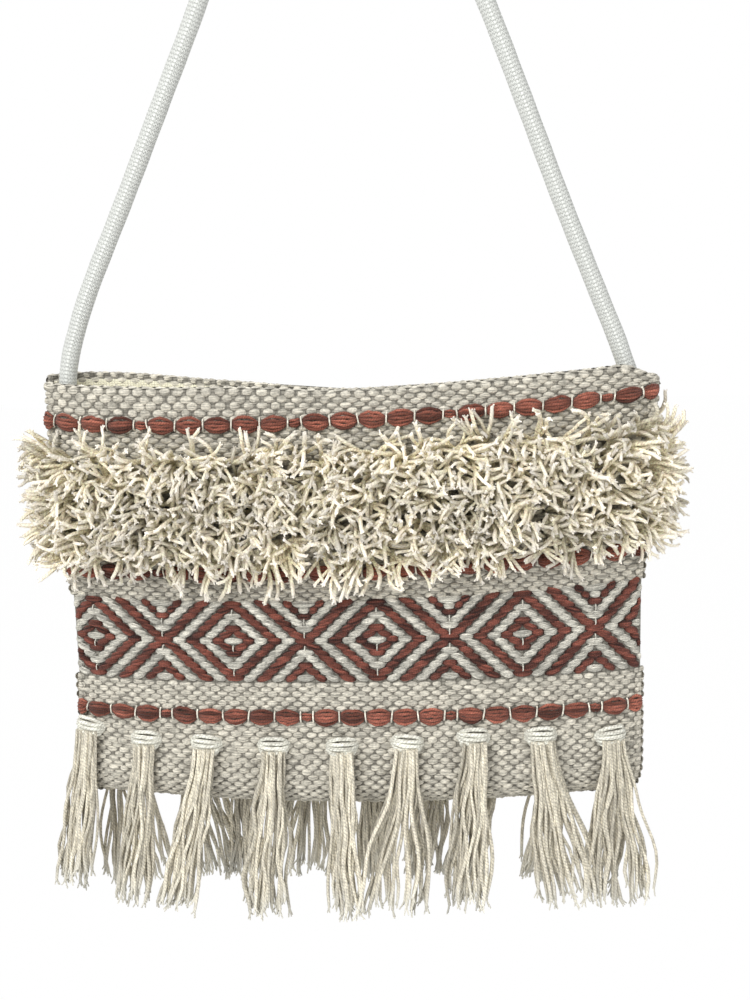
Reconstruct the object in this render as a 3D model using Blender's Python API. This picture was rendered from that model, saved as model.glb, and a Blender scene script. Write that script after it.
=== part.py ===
"""Handwoven cotton shoulder bag that hangs by its rope: a cloth folded at its base and seamed at its sides,
a lining, beaded stripes, a diamond inlay, rows of cut pile and tassels on both faces.

X runs to the right, -Y is the front and +Z is up. The origin is under the top of the rope, where a peg or
a shoulder carries the bag. Lengths are in metres.
"""

import math

import bmesh
import bpy
from mathutils import Vector

# The cloth, as it hangs
BAG_HEIGHT = 0.213
RIM_HALF_WIDTH = 0.149
BELLY_HALF_WIDTH = 0.143
BELLY_HALF_DEPTH = 0.020
WAIST_HALF_DEPTH = 0.016
RIM_HALF_DEPTH = 0.015
FOLD_ROUND = 0.018
CORNER_ROUND = 0.014
CORNER_CUT = 0.006
CLOTH_WALL = 0.0032
RIDGES = 32
RIDGE_DEPTH = 0.0008
CLEARANCE = 0.0003

# How the cloth sags between the rope's ends, and how its rim lies
RIM_LIFT = 0.005
RIM_SAG = 0.006
SAG_START = 0.030
SAG_BAND = 0.140
FOLD_SAG = 0.0065
FOLD_SAG_BAND = 0.060
LEFT_RIM_RISE = 0.004
LEFT_RISE_START = 0.05
LEFT_RISE_SPAN = 0.45
RIGHT_CORNER_DROP = 0.0075
CORNER_DROP_START = 0.88
CORNER_DROP_SPAN = 0.13
EDGE_BAND = 0.0145

# The mouth gapes at the left, where the back rim stands above the front one
BACK_RIM_DROP = 0.003
BACK_RIM_RISE = 0.007
BACK_RISE_CENTRE = -0.86
BACK_RISE_SPREAD = 0.40
GAPE_BAND = 0.105
GAPE_DEPTH = 0.004
GAPE_CENTRE = -0.60
GAPE_SPREAD = 0.33

# Shape of a level section: a lens low down, squarer at the rim where the rope holds the corners open
LENS_WIDTH_POWER = 2.4
LENS_DEPTH_POWER = 1.5
RIM_WIDTH_POWER = 6.0
RIM_DEPTH_POWER = 2.0
RIM_SQUARE_BAND = 0.028
SQUARING_BAND = 0.060

LINING_GAP = 0.0005
LINING_WALL = 0.0010
LINING_DROP = 0.003

# The rope
ROPE_RADIUS = 0.0043
ROPE_RISE = 0.288
ROPE_POINTS = 40

# Its centre line, as (across, up) from inside the left corner, over the peg, to inside the right corner
ROPE_ROUTE = [
    (-0.1385, -0.304),
    (-0.1383, -0.292),
    (-0.1365, -0.280),
    (-0.1328, -0.267),
    (-0.1240, -0.244),
    (-0.1030, -0.199),
    (-0.0830, -0.155),
    (-0.0637, -0.112),
    (-0.0440, -0.062),
    (-0.0244, -0.0123),
    (-0.0185, -0.0034),
    (-0.0100, 0.0022),
    (0.0, 0.0043),
    (0.0100, 0.0022),
    (0.0185, -0.0034),
    (0.0242, -0.0118),
    (0.0465, -0.064),
    (0.0685, -0.116),
    (0.0855, -0.160),
    (0.1020, -0.204),
    (0.1198, -0.249),
    (0.1287, -0.271),
    (0.1330, -0.283),
    (0.1367, -0.294),
    (0.1380, -0.304),
]

# The rows of the weave, as heights above the fold
TOP_STRIPE_HEIGHT = 0.1985
MIDDLE_STRIPE_HEIGHT = 0.122
BOTTOM_STRIPE_HEIGHT = 0.0455
INLAY_HEIGHT = 0.0853
TASSEL_HEIGHT = 0.0320
PILE_TOP_HEIGHT = 0.1768

# The stripes: five long beads and a short one in each repeat of the cloth
CLOTH_HALF = 0.150
REPEAT = 0.075
SHORT_BEAD_AT = -0.100
SHORT_BEAD = 0.0066
LONG_BEADS = 5
STRIPE_HALF_HEIGHT = 0.0033
STRIPE_HALF_DEPTH = 0.0020
NECK_SHARE = 0.55
STRIPE_REACH = 0.975
STRIPE_SIDES = 5

# The inlay: diagonal bars of terracotta yarn, held by weft floats
INLAY_HALF_HEIGHT = 0.021
BAR_RISE = 0.80
BAR_HEIGHT = 0.0050
BAR_OVERRUN = 0.0014
EYE_RADIUS = 0.0077
RING_RADIUS = 0.0200
CROSS_REACH = 0.0250
CHEVRON_TIP = 0.0105
CHEVRON_REACH = 0.0130
INLAY_MARGIN = 0.001
BAR_BASE = 0.00035
BAR_TOP = 0.0019
BAR_SPAN = 0.0125
CARRIED_TOP = 0.0012
CARRIED_THICKNESS = 0.0009
INLAY_REACH = 0.965

# The pile: rows of knotted tufts
PILE_ROWS = 4
PILE_PITCH = 0.0135
PILE_TUFTS = 14
PILE_HALF_LENGTH = 0.164
PILE_HUG = 0.93
PILE_THICKNESS = 0.0124
PILE_SEAT = 0.0006
PILE_SLOPE = 0.15
PILE_CURL = 16.0
PILE_REACH = 0.0180
PILE_LOBE = 0.0025
PILE_RISE = 0.006
PILE_DROOP = 0.012
PILE_END_SHARE = 0.6
PILE_END_BAND = 0.030
PILE_END_FROM = 0.134

# The tassels
TASSEL_TAIL = 0.086
HEAD_HALF_WIDTH = 0.0076
HEAD_HALF_HEIGHT = 0.0045
HEAD_HALF_DEPTH = 0.0032
TASSEL_SIDES = 8

# The outlines of head and tail, as (place, width share, depth share)
HEAD_LEVELS = ((1.0, 0.6, 0.5), (0.45, 1.0, 0.95), (-0.45, 1.0, 1.0), (-1.0, 0.72, 0.85))
TAIL_LEVELS = ((0.15, 0.95, 1.1), (0.45, 1.15, 1.35), (0.8, 1.35, 1.4), (1.0, 1.25, 1.0))

# The front tassels from left to right, as (share of the way out to the side, rise above the row, swing).
# A swing is how far a tail leans sideways, as a share of its length.
FRONT_TASSELS = (
    (-0.957, 0.0035, -0.16),
    (-0.747, 0.0, -0.135),
    (-0.527, 0.0, -0.21),
    (-0.287, 0.0, -0.085),
    (-0.047, 0.0, 0.0),
    (0.180, 0.0012, -0.10),
    (0.410, 0.0032, -0.055),
    (0.643, 0.0020, 0.165),
    (0.887, -0.0010, 0.05),
)
BACK_TASSEL_START = -0.867
BACK_TASSEL_STEP = 0.2267

FLAT_ANGLE = math.radians(1)
NORMAL_STEP = 0.002
NORMAL_SHARE = 0.004
SIDE_LIMIT = 0.992
ROUTE_STEPS = 12
PILE_OUT_SHARES = (0.0, 0.45, 0.8)
RING_POINTS = 24
FOLD_SHARES = (0, 0.05, 0.17, 0.37, 0.65, 1.0, 3.2)
SIDE_SHARES = (1, 0.67, 0.33, 0)
FRONT, BACK = -1, 1
FACES = {"front": FRONT, "back": BACK}
UP = Vector((0, 0, 1))

CREAM = (0.62, 0.58, 0.50, 1)
NATURAL = (0.70, 0.66, 0.54, 1)
TERRACOTTA = (0.32, 0.10, 0.065, 1)
LINING_CREAM = (0.78, 0.75, 0.60, 1)
ROPE_WHITE = (0.74, 0.74, 0.69, 1)


def clamp(value):
    return min(1.0, max(0.0, value))


def smooth(value):
    """0 to 1 with a soft start and end."""
    v = clamp(value)
    return v * v * (3 - 2 * v)


def mix(a, b, share):
    return a + (b - a) * share


def rounding(value):
    """A quarter circle from 0 at 0 to 1 at 1 and beyond."""
    return math.sqrt(1 - (1 - clamp(value)) ** 2)


def fullness(height):
    """Half the bag's depth at a height above the fold, away from the fold's own rounding."""
    waist = MIDDLE_STRIPE_HEIGHT
    low = mix(BELLY_HALF_DEPTH, WAIST_HALF_DEPTH, smooth(height / waist))
    return mix(low, RIM_HALF_DEPTH, smooth((height - waist) / (BAG_HEIGHT - waist)))


def half_depth(height, inset=0.0):
    return (fullness(height) - inset) * rounding((height - inset) / FOLD_ROUND)


def half_width(height, inset=0.0):
    widening = smooth((height / BAG_HEIGHT - 0.45) / 0.45)
    cut = CORNER_CUT * (1 - rounding((height - inset) / CORNER_ROUND))
    return mix(BELLY_HALF_WIDTH, RIM_HALF_WIDTH, widening) - inset - cut


def powers(height):
    """The two powers of the level section at a height."""
    share = smooth((height - BAG_HEIGHT + RIM_SQUARE_BAND + SQUARING_BAND) / SQUARING_BAND)
    return (
        mix(LENS_WIDTH_POWER, RIM_WIDTH_POWER, share),
        mix(LENS_DEPTH_POWER, RIM_DEPTH_POWER, share),
    )


def swell(u, centre, spread):
    return math.exp(-(((u - centre) / spread) ** 2))


def top_weight(height, band):
    """0 below the band under the rim, 1 at the rim."""
    return smooth((height - BAG_HEIGHT + band) / band)


def sag_shift(u, height, side):
    """How far the hang of the cloth moves a point up."""
    across = 1 - u * u
    shift = (RIM_LIFT * u - RIM_SAG * across) * smooth((height - SAG_START) / SAG_BAND)
    shift -= FOLD_SAG * across * (1 - smooth(height / FOLD_SAG_BAND))
    edge = LEFT_RIM_RISE * smooth((LEFT_RISE_START - u) / LEFT_RISE_SPAN)
    edge -= RIGHT_CORNER_DROP * smooth((u - CORNER_DROP_START) / CORNER_DROP_SPAN)
    shift += edge * top_weight(height, EDGE_BAND)
    if side == BACK:
        rise = BACK_RIM_RISE * swell(u, BACK_RISE_CENTRE, BACK_RISE_SPREAD) - BACK_RIM_DROP
        shift += rise * top_weight(height, GAPE_BAND)
    return shift


def place(u, height, side, depth):
    """A point from its share of the half width, its height above the fold and its depth."""
    bulge = GAPE_DEPTH * swell(u, GAPE_CENTRE, GAPE_SPREAD) * (1 - u * u)
    depth += bulge * top_weight(height, GAPE_BAND)
    level = height - BAG_HEIGHT - ROPE_RISE
    return side * depth, level + sag_shift(u, height, side)


def surface(u, height, side):
    """A point on the crest of the cloth's outer face."""
    n, m = powers(height)
    depth = half_depth(height) * (1 - min(abs(u), 1.0) ** n) ** (1 / m)
    y, z = place(u, height, side, depth)
    return Vector((u * half_width(height), y, z))


def outward(u, height, side):
    """The unit normal of the cloth's outer face."""
    low, high = max(-SIDE_LIMIT, u - NORMAL_SHARE), min(SIDE_LIMIT, u + NORMAL_SHARE)
    along = surface(high, height, side) - surface(low, height, side)
    above, below = height + NORMAL_STEP, height - NORMAL_STEP
    upward = surface(u, above, side) - surface(u, below, side)
    return (along.cross(upward) * -side).normalized()


def skin(u, height, side, out):
    """A point that stands out from the cloth's outer face."""
    return surface(u, height, side) + outward(u, height, side) * out


def material(name, colour, roughness=0.9):
    made = bpy.data.materials.get(name) or bpy.data.materials.new(name)
    made.use_nodes = True
    shader = made.node_tree.nodes["Principled BSDF"]
    shader.inputs["Base Color"].default_value = colour
    shader.inputs["Roughness"].default_value = roughness
    return made


def collection(name):
    made = bpy.data.collections.new(name)
    bpy.context.scene.collection.children.link(made)
    return made


def add_loft(bm, rings):
    """Faces between closed rings of equal length, with both ends filled. A ring may be pressed flat."""
    rows = [[bm.verts.new(p) for p in ring] for ring in rings]
    for lower, upper in zip(rows, rows[1:]):
        for i, vert in enumerate(lower):
            j = (i + 1) % len(lower)
            bm.faces.new((vert, lower[j], upper[j], upper[i]))
    return rows


def finish_mesh(name, bm, look, target, caps=()):
    for row in caps:
        bm.faces.new(row)
    bmesh.ops.remove_doubles(bm, verts=bm.verts, dist=1e-6)
    bmesh.ops.dissolve_degenerate(bm, dist=1e-7, edges=bm.edges)
    bmesh.ops.recalc_face_normals(bm, faces=bm.faces)
    if bm.calc_volume(signed=True) < 0:
        bmesh.ops.reverse_faces(bm, faces=bm.faces)
    # Bent quads are split one way, so that neighbours a clearance apart stay apart.
    bmesh.ops.triangulate(bm, faces=bm.faces, quad_method="FIXED")
    mesh = bpy.data.meshes.new(name)
    bm.to_mesh(mesh)
    bm.free()
    mesh.materials.append(look)
    made = bpy.data.objects.new(name, mesh)
    target.objects.link(made)
    return made


def loft(name, rings, look, target):
    """A solid through the rings, capped at both ends."""
    bm = bmesh.new()
    rows = add_loft(bm, rings)
    return finish_mesh(name, bm, look, target, caps=(rows[0][::-1], rows[-1]))


def level_ring(height, inset):
    """A closed level section of the bag, inset from the crest of its outer face."""
    n, m = powers(height)
    wide, deep = half_width(height, inset), half_depth(height, inset)
    ring = []
    for i in range(RING_POINTS):
        angle = 2 * math.pi * i / RING_POINTS
        c, s = math.cos(angle), math.sin(angle)
        u = math.copysign(abs(c) ** (2 / n), c)
        side = BACK if s > 0 else FRONT
        y, z = place(u, height, side, deep * abs(s) ** (2 / m))
        if abs(s) < 1e-9:
            y = 0.0
            z = (place(u, height, FRONT, 0)[1] + place(u, height, BACK, 0)[1]) / 2
        ring.append(Vector((u * wide, y, z)))
    return ring


def plain_levels(inset, rim):
    """Heights for the rings of a smooth face of the pouch, close together where its form changes."""
    fold = [inset + FOLD_ROUND * share for share in FOLD_SHARES]
    squared = BAG_HEIGHT - RIM_SQUARE_BAND
    sides = [squared - SQUARING_BAND * share for share in SIDE_SHARES]
    return [*fold, *sides, rim]


def pouch(name, outer, inner, rim, look, target, ridged=False):
    """An open-topped pouch between two insets of the bag's form, ridged outside by the weave if asked."""
    inside = [level_ring(height, inner) for height in plain_levels(inner, rim)]
    if ridged:
        count = 2 * RIDGES
        outside = [level_ring(rim * i / count, RIDGE_DEPTH * (i % 2)) for i in range(count + 1)]
        rings = [*outside, *reversed(inside)]
    else:
        # Lofted the other way round, so that its bent faces split like those of the cloth outside it.
        outside = [level_ring(height, outer) for height in plain_levels(outer, rim)]
        rings = [*inside, *reversed(outside)]
    bm = bmesh.new()
    add_loft(bm, rings)
    return finish_mesh(name, bm, look, target)


def stripe_beads():
    """Bead edges along the cloth, from the left seam to the right one."""
    long_bead = (REPEAT - SHORT_BEAD) / LONG_BEADS
    edges = []
    start = SHORT_BEAD_AT - SHORT_BEAD / 2 - REPEAT
    while start < CLOTH_HALF:
        edges += [start, start + SHORT_BEAD]
        edges += [start + SHORT_BEAD + long_bead * i for i in range(1, LONG_BEADS)]
        start += REPEAT
    reach = STRIPE_REACH * CLOTH_HALF
    inside = [e for e in edges if -reach + SHORT_BEAD / 3 < e < reach - SHORT_BEAD / 3]
    return [-reach, *inside, reach]


def stripe(name, height, side, look, target):
    """A thick yarn laid along the cloth and drawn in at each binding thread."""
    edges = stripe_beads()
    stations = [(edges[0], NECK_SHARE)]
    for left, right in zip(edges, edges[1:]):
        stations += [((left + right) / 2, 1.0), (right, NECK_SHARE)]
    rings = []
    for along, share in stations:
        u = along / CLOTH_HALF
        normal = outward(u, height, side)
        centre = skin(u, height, side, STRIPE_HALF_DEPTH + CLEARANCE)
        ring = []
        for k in range(STRIPE_SIDES):
            angle = 2 * math.pi * k / STRIPE_SIDES
            reach = normal * (math.cos(angle) * STRIPE_HALF_DEPTH * share)
            ring.append(centre + reach + UP * (math.sin(angle) * STRIPE_HALF_HEIGHT * share))
        rings.append(ring)
    return loft(name, rings, look, target)


def add_bar(bm, start, end, half_height=BAR_HEIGHT / 2, top=BAR_TOP):
    """A flat bar between two points given as (along the cloth, above the inlay's middle)."""
    rings = []
    for along, rise in (start, end):
        low = max(rise - half_height, -INLAY_HALF_HEIGHT)
        high = min(rise + half_height, INLAY_HALF_HEIGHT)
        corners = [(low, BAR_BASE), (high, BAR_BASE), (high, top), (low, top)]
        rings.append([Vector((along, out, h)) for h, out in corners])
    rows = add_loft(bm, rings)
    bm.faces.new(rows[0][::-1])
    bm.faces.new(rows[-1])


def clipped(start, end):
    """The bar between the two points, cut to the cloth's width and the inlay's height, or None."""
    reach = INLAY_REACH * CLOTH_HALF
    limit = INLAY_HALF_HEIGHT - INLAY_MARGIN
    low, high = 0.0, 1.0
    for axis, bound in ((0, reach), (1, limit)):
        a, b = start[axis], end[axis]
        if abs(b - a) < 1e-9:
            continue
        at = sorted(((-bound - a) / (b - a), (bound - a) / (b - a)))
        low, high = max(low, at[0]), min(high, at[1])
    if (high - low) * abs(end[0] - start[0]) < BAR_HEIGHT / 2:
        return None
    return tuple(
        (mix(start[0], end[0], share), mix(start[1], end[1], share)) for share in (low, high)
    )


def motif_bars(direction):
    """The bars of the inlay that run one way: rising to the right for 1, falling for -1."""
    lines = []
    eye = SHORT_BEAD_AT - REPEAT / 2
    while eye < CLOTH_HALF + REPEAT:
        cross = eye + REPEAT / 2
        lines.append((cross, 0.0, -CROSS_REACH, CROSS_REACH))
        for radius in (EYE_RADIUS, RING_RADIUS):
            for half in (-1, 1):
                ends = sorted((half * (radius + BAR_OVERRUN), -half * BAR_OVERRUN))
                lines.append((eye, -half * radius * BAR_RISE, *ends))
        lines.append((cross, CHEVRON_TIP, -BAR_OVERRUN, CHEVRON_REACH))
        lines.append((cross, -CHEVRON_TIP, -CHEVRON_REACH, BAR_OVERRUN))
        eye += REPEAT
    bars = []
    for column, middle, low, high in lines:
        # A falling bar is the mirror image of a rising one about its own column.
        ends = [(column + direction * run, middle + BAR_RISE * run) for run in (low, high)]
        found = clipped(*sorted(ends))
        if found:
            bars.append(found)
    return bars


def add_carried_yarn(bm, level):
    """The thin yarn that joins the figures: one along the cloth, or one up through each cross."""
    half = CARRIED_THICKNESS / 2
    if level:
        reach = INLAY_REACH * CLOTH_HALF - half
        add_bar(bm, (-reach, 0.0), (reach, 0.0), half, CARRIED_TOP)
        return
    cross = SHORT_BEAD_AT
    while cross < CLOTH_HALF:
        add_bar(bm, (cross - half, 0.0), (cross + half, 0.0), CHEVRON_TIP, CARRIED_TOP)
        cross += REPEAT


def inlay(name, side, look, target):
    """The terracotta diamonds, crosses and chevrons of one face, joined flat and laid on the cloth."""
    solids = []
    for kind in range(4):
        bm = bmesh.new()
        if kind < 2:
            for start, end in motif_bars(1 if kind else -1):
                add_bar(bm, start, end)
        else:
            add_carried_yarn(bm, level=kind == 3)
        solids.append(finish_mesh(f"{name}_{kind}", bm, look, target))
    whole = solids[0]
    for other in solids[1:]:
        union = whole.modifiers.new(other.name, "BOOLEAN")
        union.operation = "UNION"
        union.solver = "EXACT"
        union.object = other
    flat = bpy.data.meshes.new_from_object(
        whole.evaluated_get(bpy.context.evaluated_depsgraph_get())
    )
    for solid in solids:
        bpy.data.objects.remove(solid, do_unlink=True)
    bm = bmesh.new()
    bm.from_mesh(flat)
    bmesh.ops.dissolve_limit(bm, angle_limit=FLAT_ANGLE, verts=bm.verts, edges=bm.edges)
    # Crossed again at even steps, so that the flat figures can bend with the cloth.
    crossings = math.ceil(CLOTH_HALF / BAR_SPAN)
    for i in range(-crossings, crossings + 1):
        geometry = [*bm.verts, *bm.edges, *bm.faces]
        bmesh.ops.bisect_plane(bm, geom=geometry, plane_co=(i * BAR_SPAN, 0, 0), plane_no=(1, 0, 0))
    bmesh.ops.triangulate(bm, faces=bm.faces)
    for vert in bm.verts:
        along, out, rise = vert.co
        vert.co = skin(along / CLOTH_HALF, INLAY_HEIGHT + rise, side, out)
    return finish_mesh(name, bm, look, target)


def pile_section(reach, rise, droop):
    """Outline of a row of tufts, as (out from the cloth, up from the row), clockwise from its root."""
    def top(out):
        return PILE_THICKNESS / 2 + PILE_SLOPE * out - PILE_CURL * out * out

    outs = [share * reach for share in PILE_OUT_SHARES]
    upper = [(out, top(out) + rise * out / reach) for out in outs]
    lower = [(out, top(out) - PILE_THICKNESS - droop * (out / reach) ** 2) for out in outs]
    tip = (reach, top(reach) - PILE_THICKNESS / 2 + (rise - droop) / 2)
    return [*upper, tip, *reversed(lower)]


def pile_row(name, row, side, look, target):
    """One row of cut tufts across a face, which also stands out past the side seams."""
    height = PILE_TOP_HEIGHT - PILE_PITCH * row
    middle = PILE_TOP_HEIGHT - PILE_PITCH * (PILE_ROWS - 1) / 2
    rise = PILE_RISE if row == 0 else 0.0
    droop = PILE_DROOP if row == PILE_ROWS - 1 else 0.0
    stations = 2 * PILE_TUFTS
    rings = []
    for i in range(stations + 1):
        along = mix(-PILE_HALF_LENGTH, PILE_HALF_LENGTH, i / stations)
        hug = min(1.0, PILE_HUG * half_width(height) / max(abs(along), 1e-9))
        u = along * hug / half_width(height)
        edges = (height - PILE_THICKNESS / 2, height, height + PILE_THICKNESS / 2)
        root_out = max(side * surface(u, edge, side).y for edge in edges) + PILE_SEAT
        # All rows follow the middle one's sag, so that they stay evenly spaced.
        root_up = surface(u, middle, side).z + height - middle
        reach = PILE_REACH + PILE_LOBE * (1 if (i + row) % 2 else -1)
        reach *= mix(1.0, PILE_END_SHARE, smooth((abs(along) - PILE_END_FROM) / PILE_END_BAND))
        ring = []
        for out, up in pile_section(reach, rise, droop):
            ring.append(Vector((along, side * (root_out + out), root_up + up)))
        rings.append(ring)
    return loft(name, rings, look, target)


def tassel(name, u, rise, swing, side, look, target):
    """A knotted bundle: a bar of yarn across the cloth with its cut ends hanging below."""
    normal = outward(u, TASSEL_HEIGHT, side)
    normal = Vector((normal.x, normal.y, 0)).normalized()
    across = UP.cross(normal)
    root = skin(u, TASSEL_HEIGHT + rise, side, CLEARANCE)
    # Each level is (above the head's middle, sideways, width share, depth share).
    levels = [(up * HEAD_HALF_HEIGHT, 0.0, wide, deep) for up, wide, deep in HEAD_LEVELS]
    for share, wide, deep in TAIL_LEVELS:
        drop = share * TASSEL_TAIL
        levels.append((-HEAD_HALF_HEIGHT - drop, swing * drop, wide, deep))
    seat = max(deep for _, _, deep in TAIL_LEVELS)
    rings = []
    for up, sideways, wide, deep in levels:
        stand = seat if up < -HEAD_HALF_HEIGHT else deep
        centre = root + normal * (stand * HEAD_HALF_DEPTH) + UP * up
        centre.x += sideways
        ring = []
        for k in range(TASSEL_SIDES):
            angle = 2 * math.pi * (k + 0.5) / TASSEL_SIDES
            sideways_arm = across * (math.cos(angle) * wide * HEAD_HALF_WIDTH)
            ring.append(centre + sideways_arm + normal * (math.sin(angle) * deep * HEAD_HALF_DEPTH))
        rings.append(ring)
    return loft(name, rings, look, target)


def even_points(points, count):
    """Points evenly spaced along a smooth curve through the given ones."""
    fine = []
    for i in range(len(points) - 1):
        before, after = points[max(i - 1, 0)], points[min(i + 2, len(points) - 1)]
        a, b = points[i], points[i + 1]
        for k in range(ROUTE_STEPS):
            t = k / ROUTE_STEPS
            fine.append(
                0.5
                * (
                    2 * a
                    + (b - before) * t
                    + (2 * before - 5 * a + 4 * b - after) * t * t
                    + (3 * a - before - 3 * b + after) * t**3
                )
            )
    fine.append(points[-1])
    travelled = [0.0]
    for a, b in zip(fine, fine[1:]):
        travelled.append(travelled[-1] + (b - a).length)
    spaced, k = [], 0
    for i in range(count):
        want = travelled[-1] * i / (count - 1)
        while k < len(fine) - 2 and travelled[k + 1] < want:
            k += 1
        share = (want - travelled[k]) / (travelled[k + 1] - travelled[k])
        spaced.append(fine[k].lerp(fine[k + 1], clamp(share)))
    return spaced


def rope(name, look, target):
    points = even_points([Vector((x, 0, z)) for x, z in ROPE_ROUTE], ROPE_POINTS)
    curve = bpy.data.curves.new(name, "CURVE")
    curve.dimensions = "3D"
    curve.bevel_depth = ROPE_RADIUS
    curve.bevel_resolution = 2
    curve.use_fill_caps = True
    spline = curve.splines.new("POLY")
    spline.points.add(len(points) - 1)
    for slot, point in zip(spline.points, points):
        slot.co = (*point, 1)
    curve.materials.append(look)
    made = bpy.data.objects.new(name, curve)
    target.objects.link(made)
    return made


def build():
    for old in list(bpy.data.objects):
        bpy.data.objects.remove(old, do_unlink=True)
    bag = collection("woven_shoulder_bag")

    cream = material("cream_cloth", CREAM)
    natural = material("natural_yarn", NATURAL)
    terracotta = material("terracotta_yarn", TERRACOTTA)
    lining_look = material("lining_cotton", LINING_CREAM)
    rope_look = material("rope_cotton", ROPE_WHITE)

    pouch("woven_cloth", 0.0, CLOTH_WALL, BAG_HEIGHT, cream, bag, ridged=True)
    lining_out = CLOTH_WALL + LINING_GAP
    lining_in = lining_out + LINING_WALL
    pouch("lining", lining_out, lining_in, BAG_HEIGHT - LINING_DROP, lining_look, bag)
    rope("shoulder_rope", rope_look, bag)

    stripes = {
        "top": TOP_STRIPE_HEIGHT,
        "middle": MIDDLE_STRIPE_HEIGHT,
        "bottom": BOTTOM_STRIPE_HEIGHT,
    }
    # Seen from behind, the back's tails swing as the front's do from the front.
    back_tassels = [
        (BACK_TASSEL_START + BACK_TASSEL_STEP * i, 0.0, -swing)
        for i, (_, _, swing) in enumerate(reversed(FRONT_TASSELS))
    ]
    for face, side in FACES.items():
        for level, height in stripes.items():
            stripe(f"{face}_{level}_stripe", height, side, terracotta, bag)
        inlay(f"{face}_diamond_inlay", side, terracotta, bag)
        for row in range(PILE_ROWS):
            pile_row(f"{face}_pile_row_{row + 1}", row, side, natural, bag)
        for i, (u, rise, swing) in enumerate(FRONT_TASSELS if side == FRONT else back_tassels):
            tassel(f"{face}_tassel_{i + 1}", u, rise, swing, side, natural, bag)


build()
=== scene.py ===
"""A flat handwoven shoulder bag with a shaggy band and tassels, hanging by its knitted rope."""

import math

import bmesh
import bpy
import numpy as np
from mathutils import Matrix, Vector


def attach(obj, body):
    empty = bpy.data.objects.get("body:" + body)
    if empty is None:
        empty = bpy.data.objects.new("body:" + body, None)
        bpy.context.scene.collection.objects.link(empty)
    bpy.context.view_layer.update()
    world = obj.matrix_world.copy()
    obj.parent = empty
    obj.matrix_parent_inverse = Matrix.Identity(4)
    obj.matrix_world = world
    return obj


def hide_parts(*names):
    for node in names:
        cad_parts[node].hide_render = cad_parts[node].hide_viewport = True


bl_info = {
    "name": "Tasselled Shoulder Bag",
    "version": (1, 0, 0),
    "blender": (4, 5, 0),
    "location": "3D View > Sidebar > Bag",
    "description": "Makes a handwoven shoulder bag with stripes, a diamond band, cut pile and tassels",
    "category": "Add Mesh",
}

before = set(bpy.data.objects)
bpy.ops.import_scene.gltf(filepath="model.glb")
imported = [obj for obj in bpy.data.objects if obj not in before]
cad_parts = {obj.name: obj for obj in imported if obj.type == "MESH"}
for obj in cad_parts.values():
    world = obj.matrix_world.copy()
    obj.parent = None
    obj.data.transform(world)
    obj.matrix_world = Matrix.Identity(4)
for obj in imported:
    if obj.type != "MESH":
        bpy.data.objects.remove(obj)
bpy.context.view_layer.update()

# The bag's form, in metres, as in the part's source.
BAG_HEIGHT = 0.213
RIM_HALF_WIDTH = 0.149
BELLY_HALF_WIDTH = 0.143
BELLY_HALF_DEPTH = 0.020
WAIST_HALF_DEPTH = 0.016
RIM_HALF_DEPTH = 0.015
FOLD_ROUND = 0.018
CORNER_ROUND = 0.014
CORNER_CUT = 0.006
CLOTH_WALL = 0.0032
RIM_LIFT = 0.005
RIM_SAG = 0.006
SAG_START = 0.030
SAG_BAND = 0.140
FOLD_SAG = 0.0065
FOLD_SAG_BAND = 0.060
LEFT_RIM_RISE = 0.004
LEFT_RISE_START = 0.05
LEFT_RISE_SPAN = 0.45
RIGHT_CORNER_DROP = 0.0075
CORNER_DROP_START = 0.88
CORNER_DROP_SPAN = 0.13
EDGE_BAND = 0.0145
BACK_RIM_DROP = 0.003
BACK_RIM_RISE = 0.007
BACK_RISE_CENTRE = -0.86
BACK_RISE_SPREAD = 0.40
GAPE_BAND = 0.105
GAPE_DEPTH = 0.004
GAPE_CENTRE = -0.60
GAPE_SPREAD = 0.33
LENS_WIDTH_POWER = 2.4
LENS_DEPTH_POWER = 1.5
RIM_WIDTH_POWER = 6.0
RIM_DEPTH_POWER = 2.0
RIM_SQUARE_BAND = 0.028
SQUARING_BAND = 0.060
FOLD_SHARES = (0.0, 0.02, 0.09, 0.2, 0.34, 0.5, 0.7, 1.0)
RIM_ROUND = 0.0012
LINING_GAP = 0.0005
LINING_WALL = 0.0010
LINING_DROP = 0.003
ROPE_RISE = 0.288
CLOTH_HALF = 0.150
REPEAT = 0.075
SHORT_BEAD_AT = -0.100
SHORT_BEAD = 0.0066
SEAM_MARGIN = 0.0015
SEAM_SHARE = 0.994
LONG_BEADS = 5
STRIPES = (("top", 0.1985), ("middle", 0.122), ("bottom", 0.0455))
INLAY_HEIGHT = 0.0853
PILE_ROWS = 4
PILE_TOP_HEIGHT = 0.1768
PILE_PITCH = 0.0135
PILE_HALF_LENGTH = 0.164
TASSEL_HEIGHT = 0.0320
FRONT_TASSELS = (
    (-0.957, 0.0035, -0.16),
    (-0.747, 0.0, -0.135),
    (-0.527, 0.0, -0.21),
    (-0.287, 0.0, -0.085),
    (-0.047, 0.0, 0.0),
    (0.180, 0.0012, -0.10),
    (0.410, 0.0032, -0.055),
    (0.643, 0.0020, 0.165),
    (0.887, -0.0010, 0.05),
)
BACK_TASSEL_START = -0.867
BACK_TASSEL_STEP = 0.2267
TASSEL_TAIL = 0.086
HEAD_HALF_WIDTH = 0.0076
HEAD_HALF_HEIGHT = 0.0045
TASSEL_SPREADS = (1.0, 1.0, 0.95, 1.05, 0.8, 1.75, 1.0, 1.55, 1.8)
ROPE_POINTS = 40
ROPE_RINGS = 520
ROPE_SIDES = 27
ROPE_COLUMNS = 9
ROPE_STITCH = 0.0019
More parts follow.
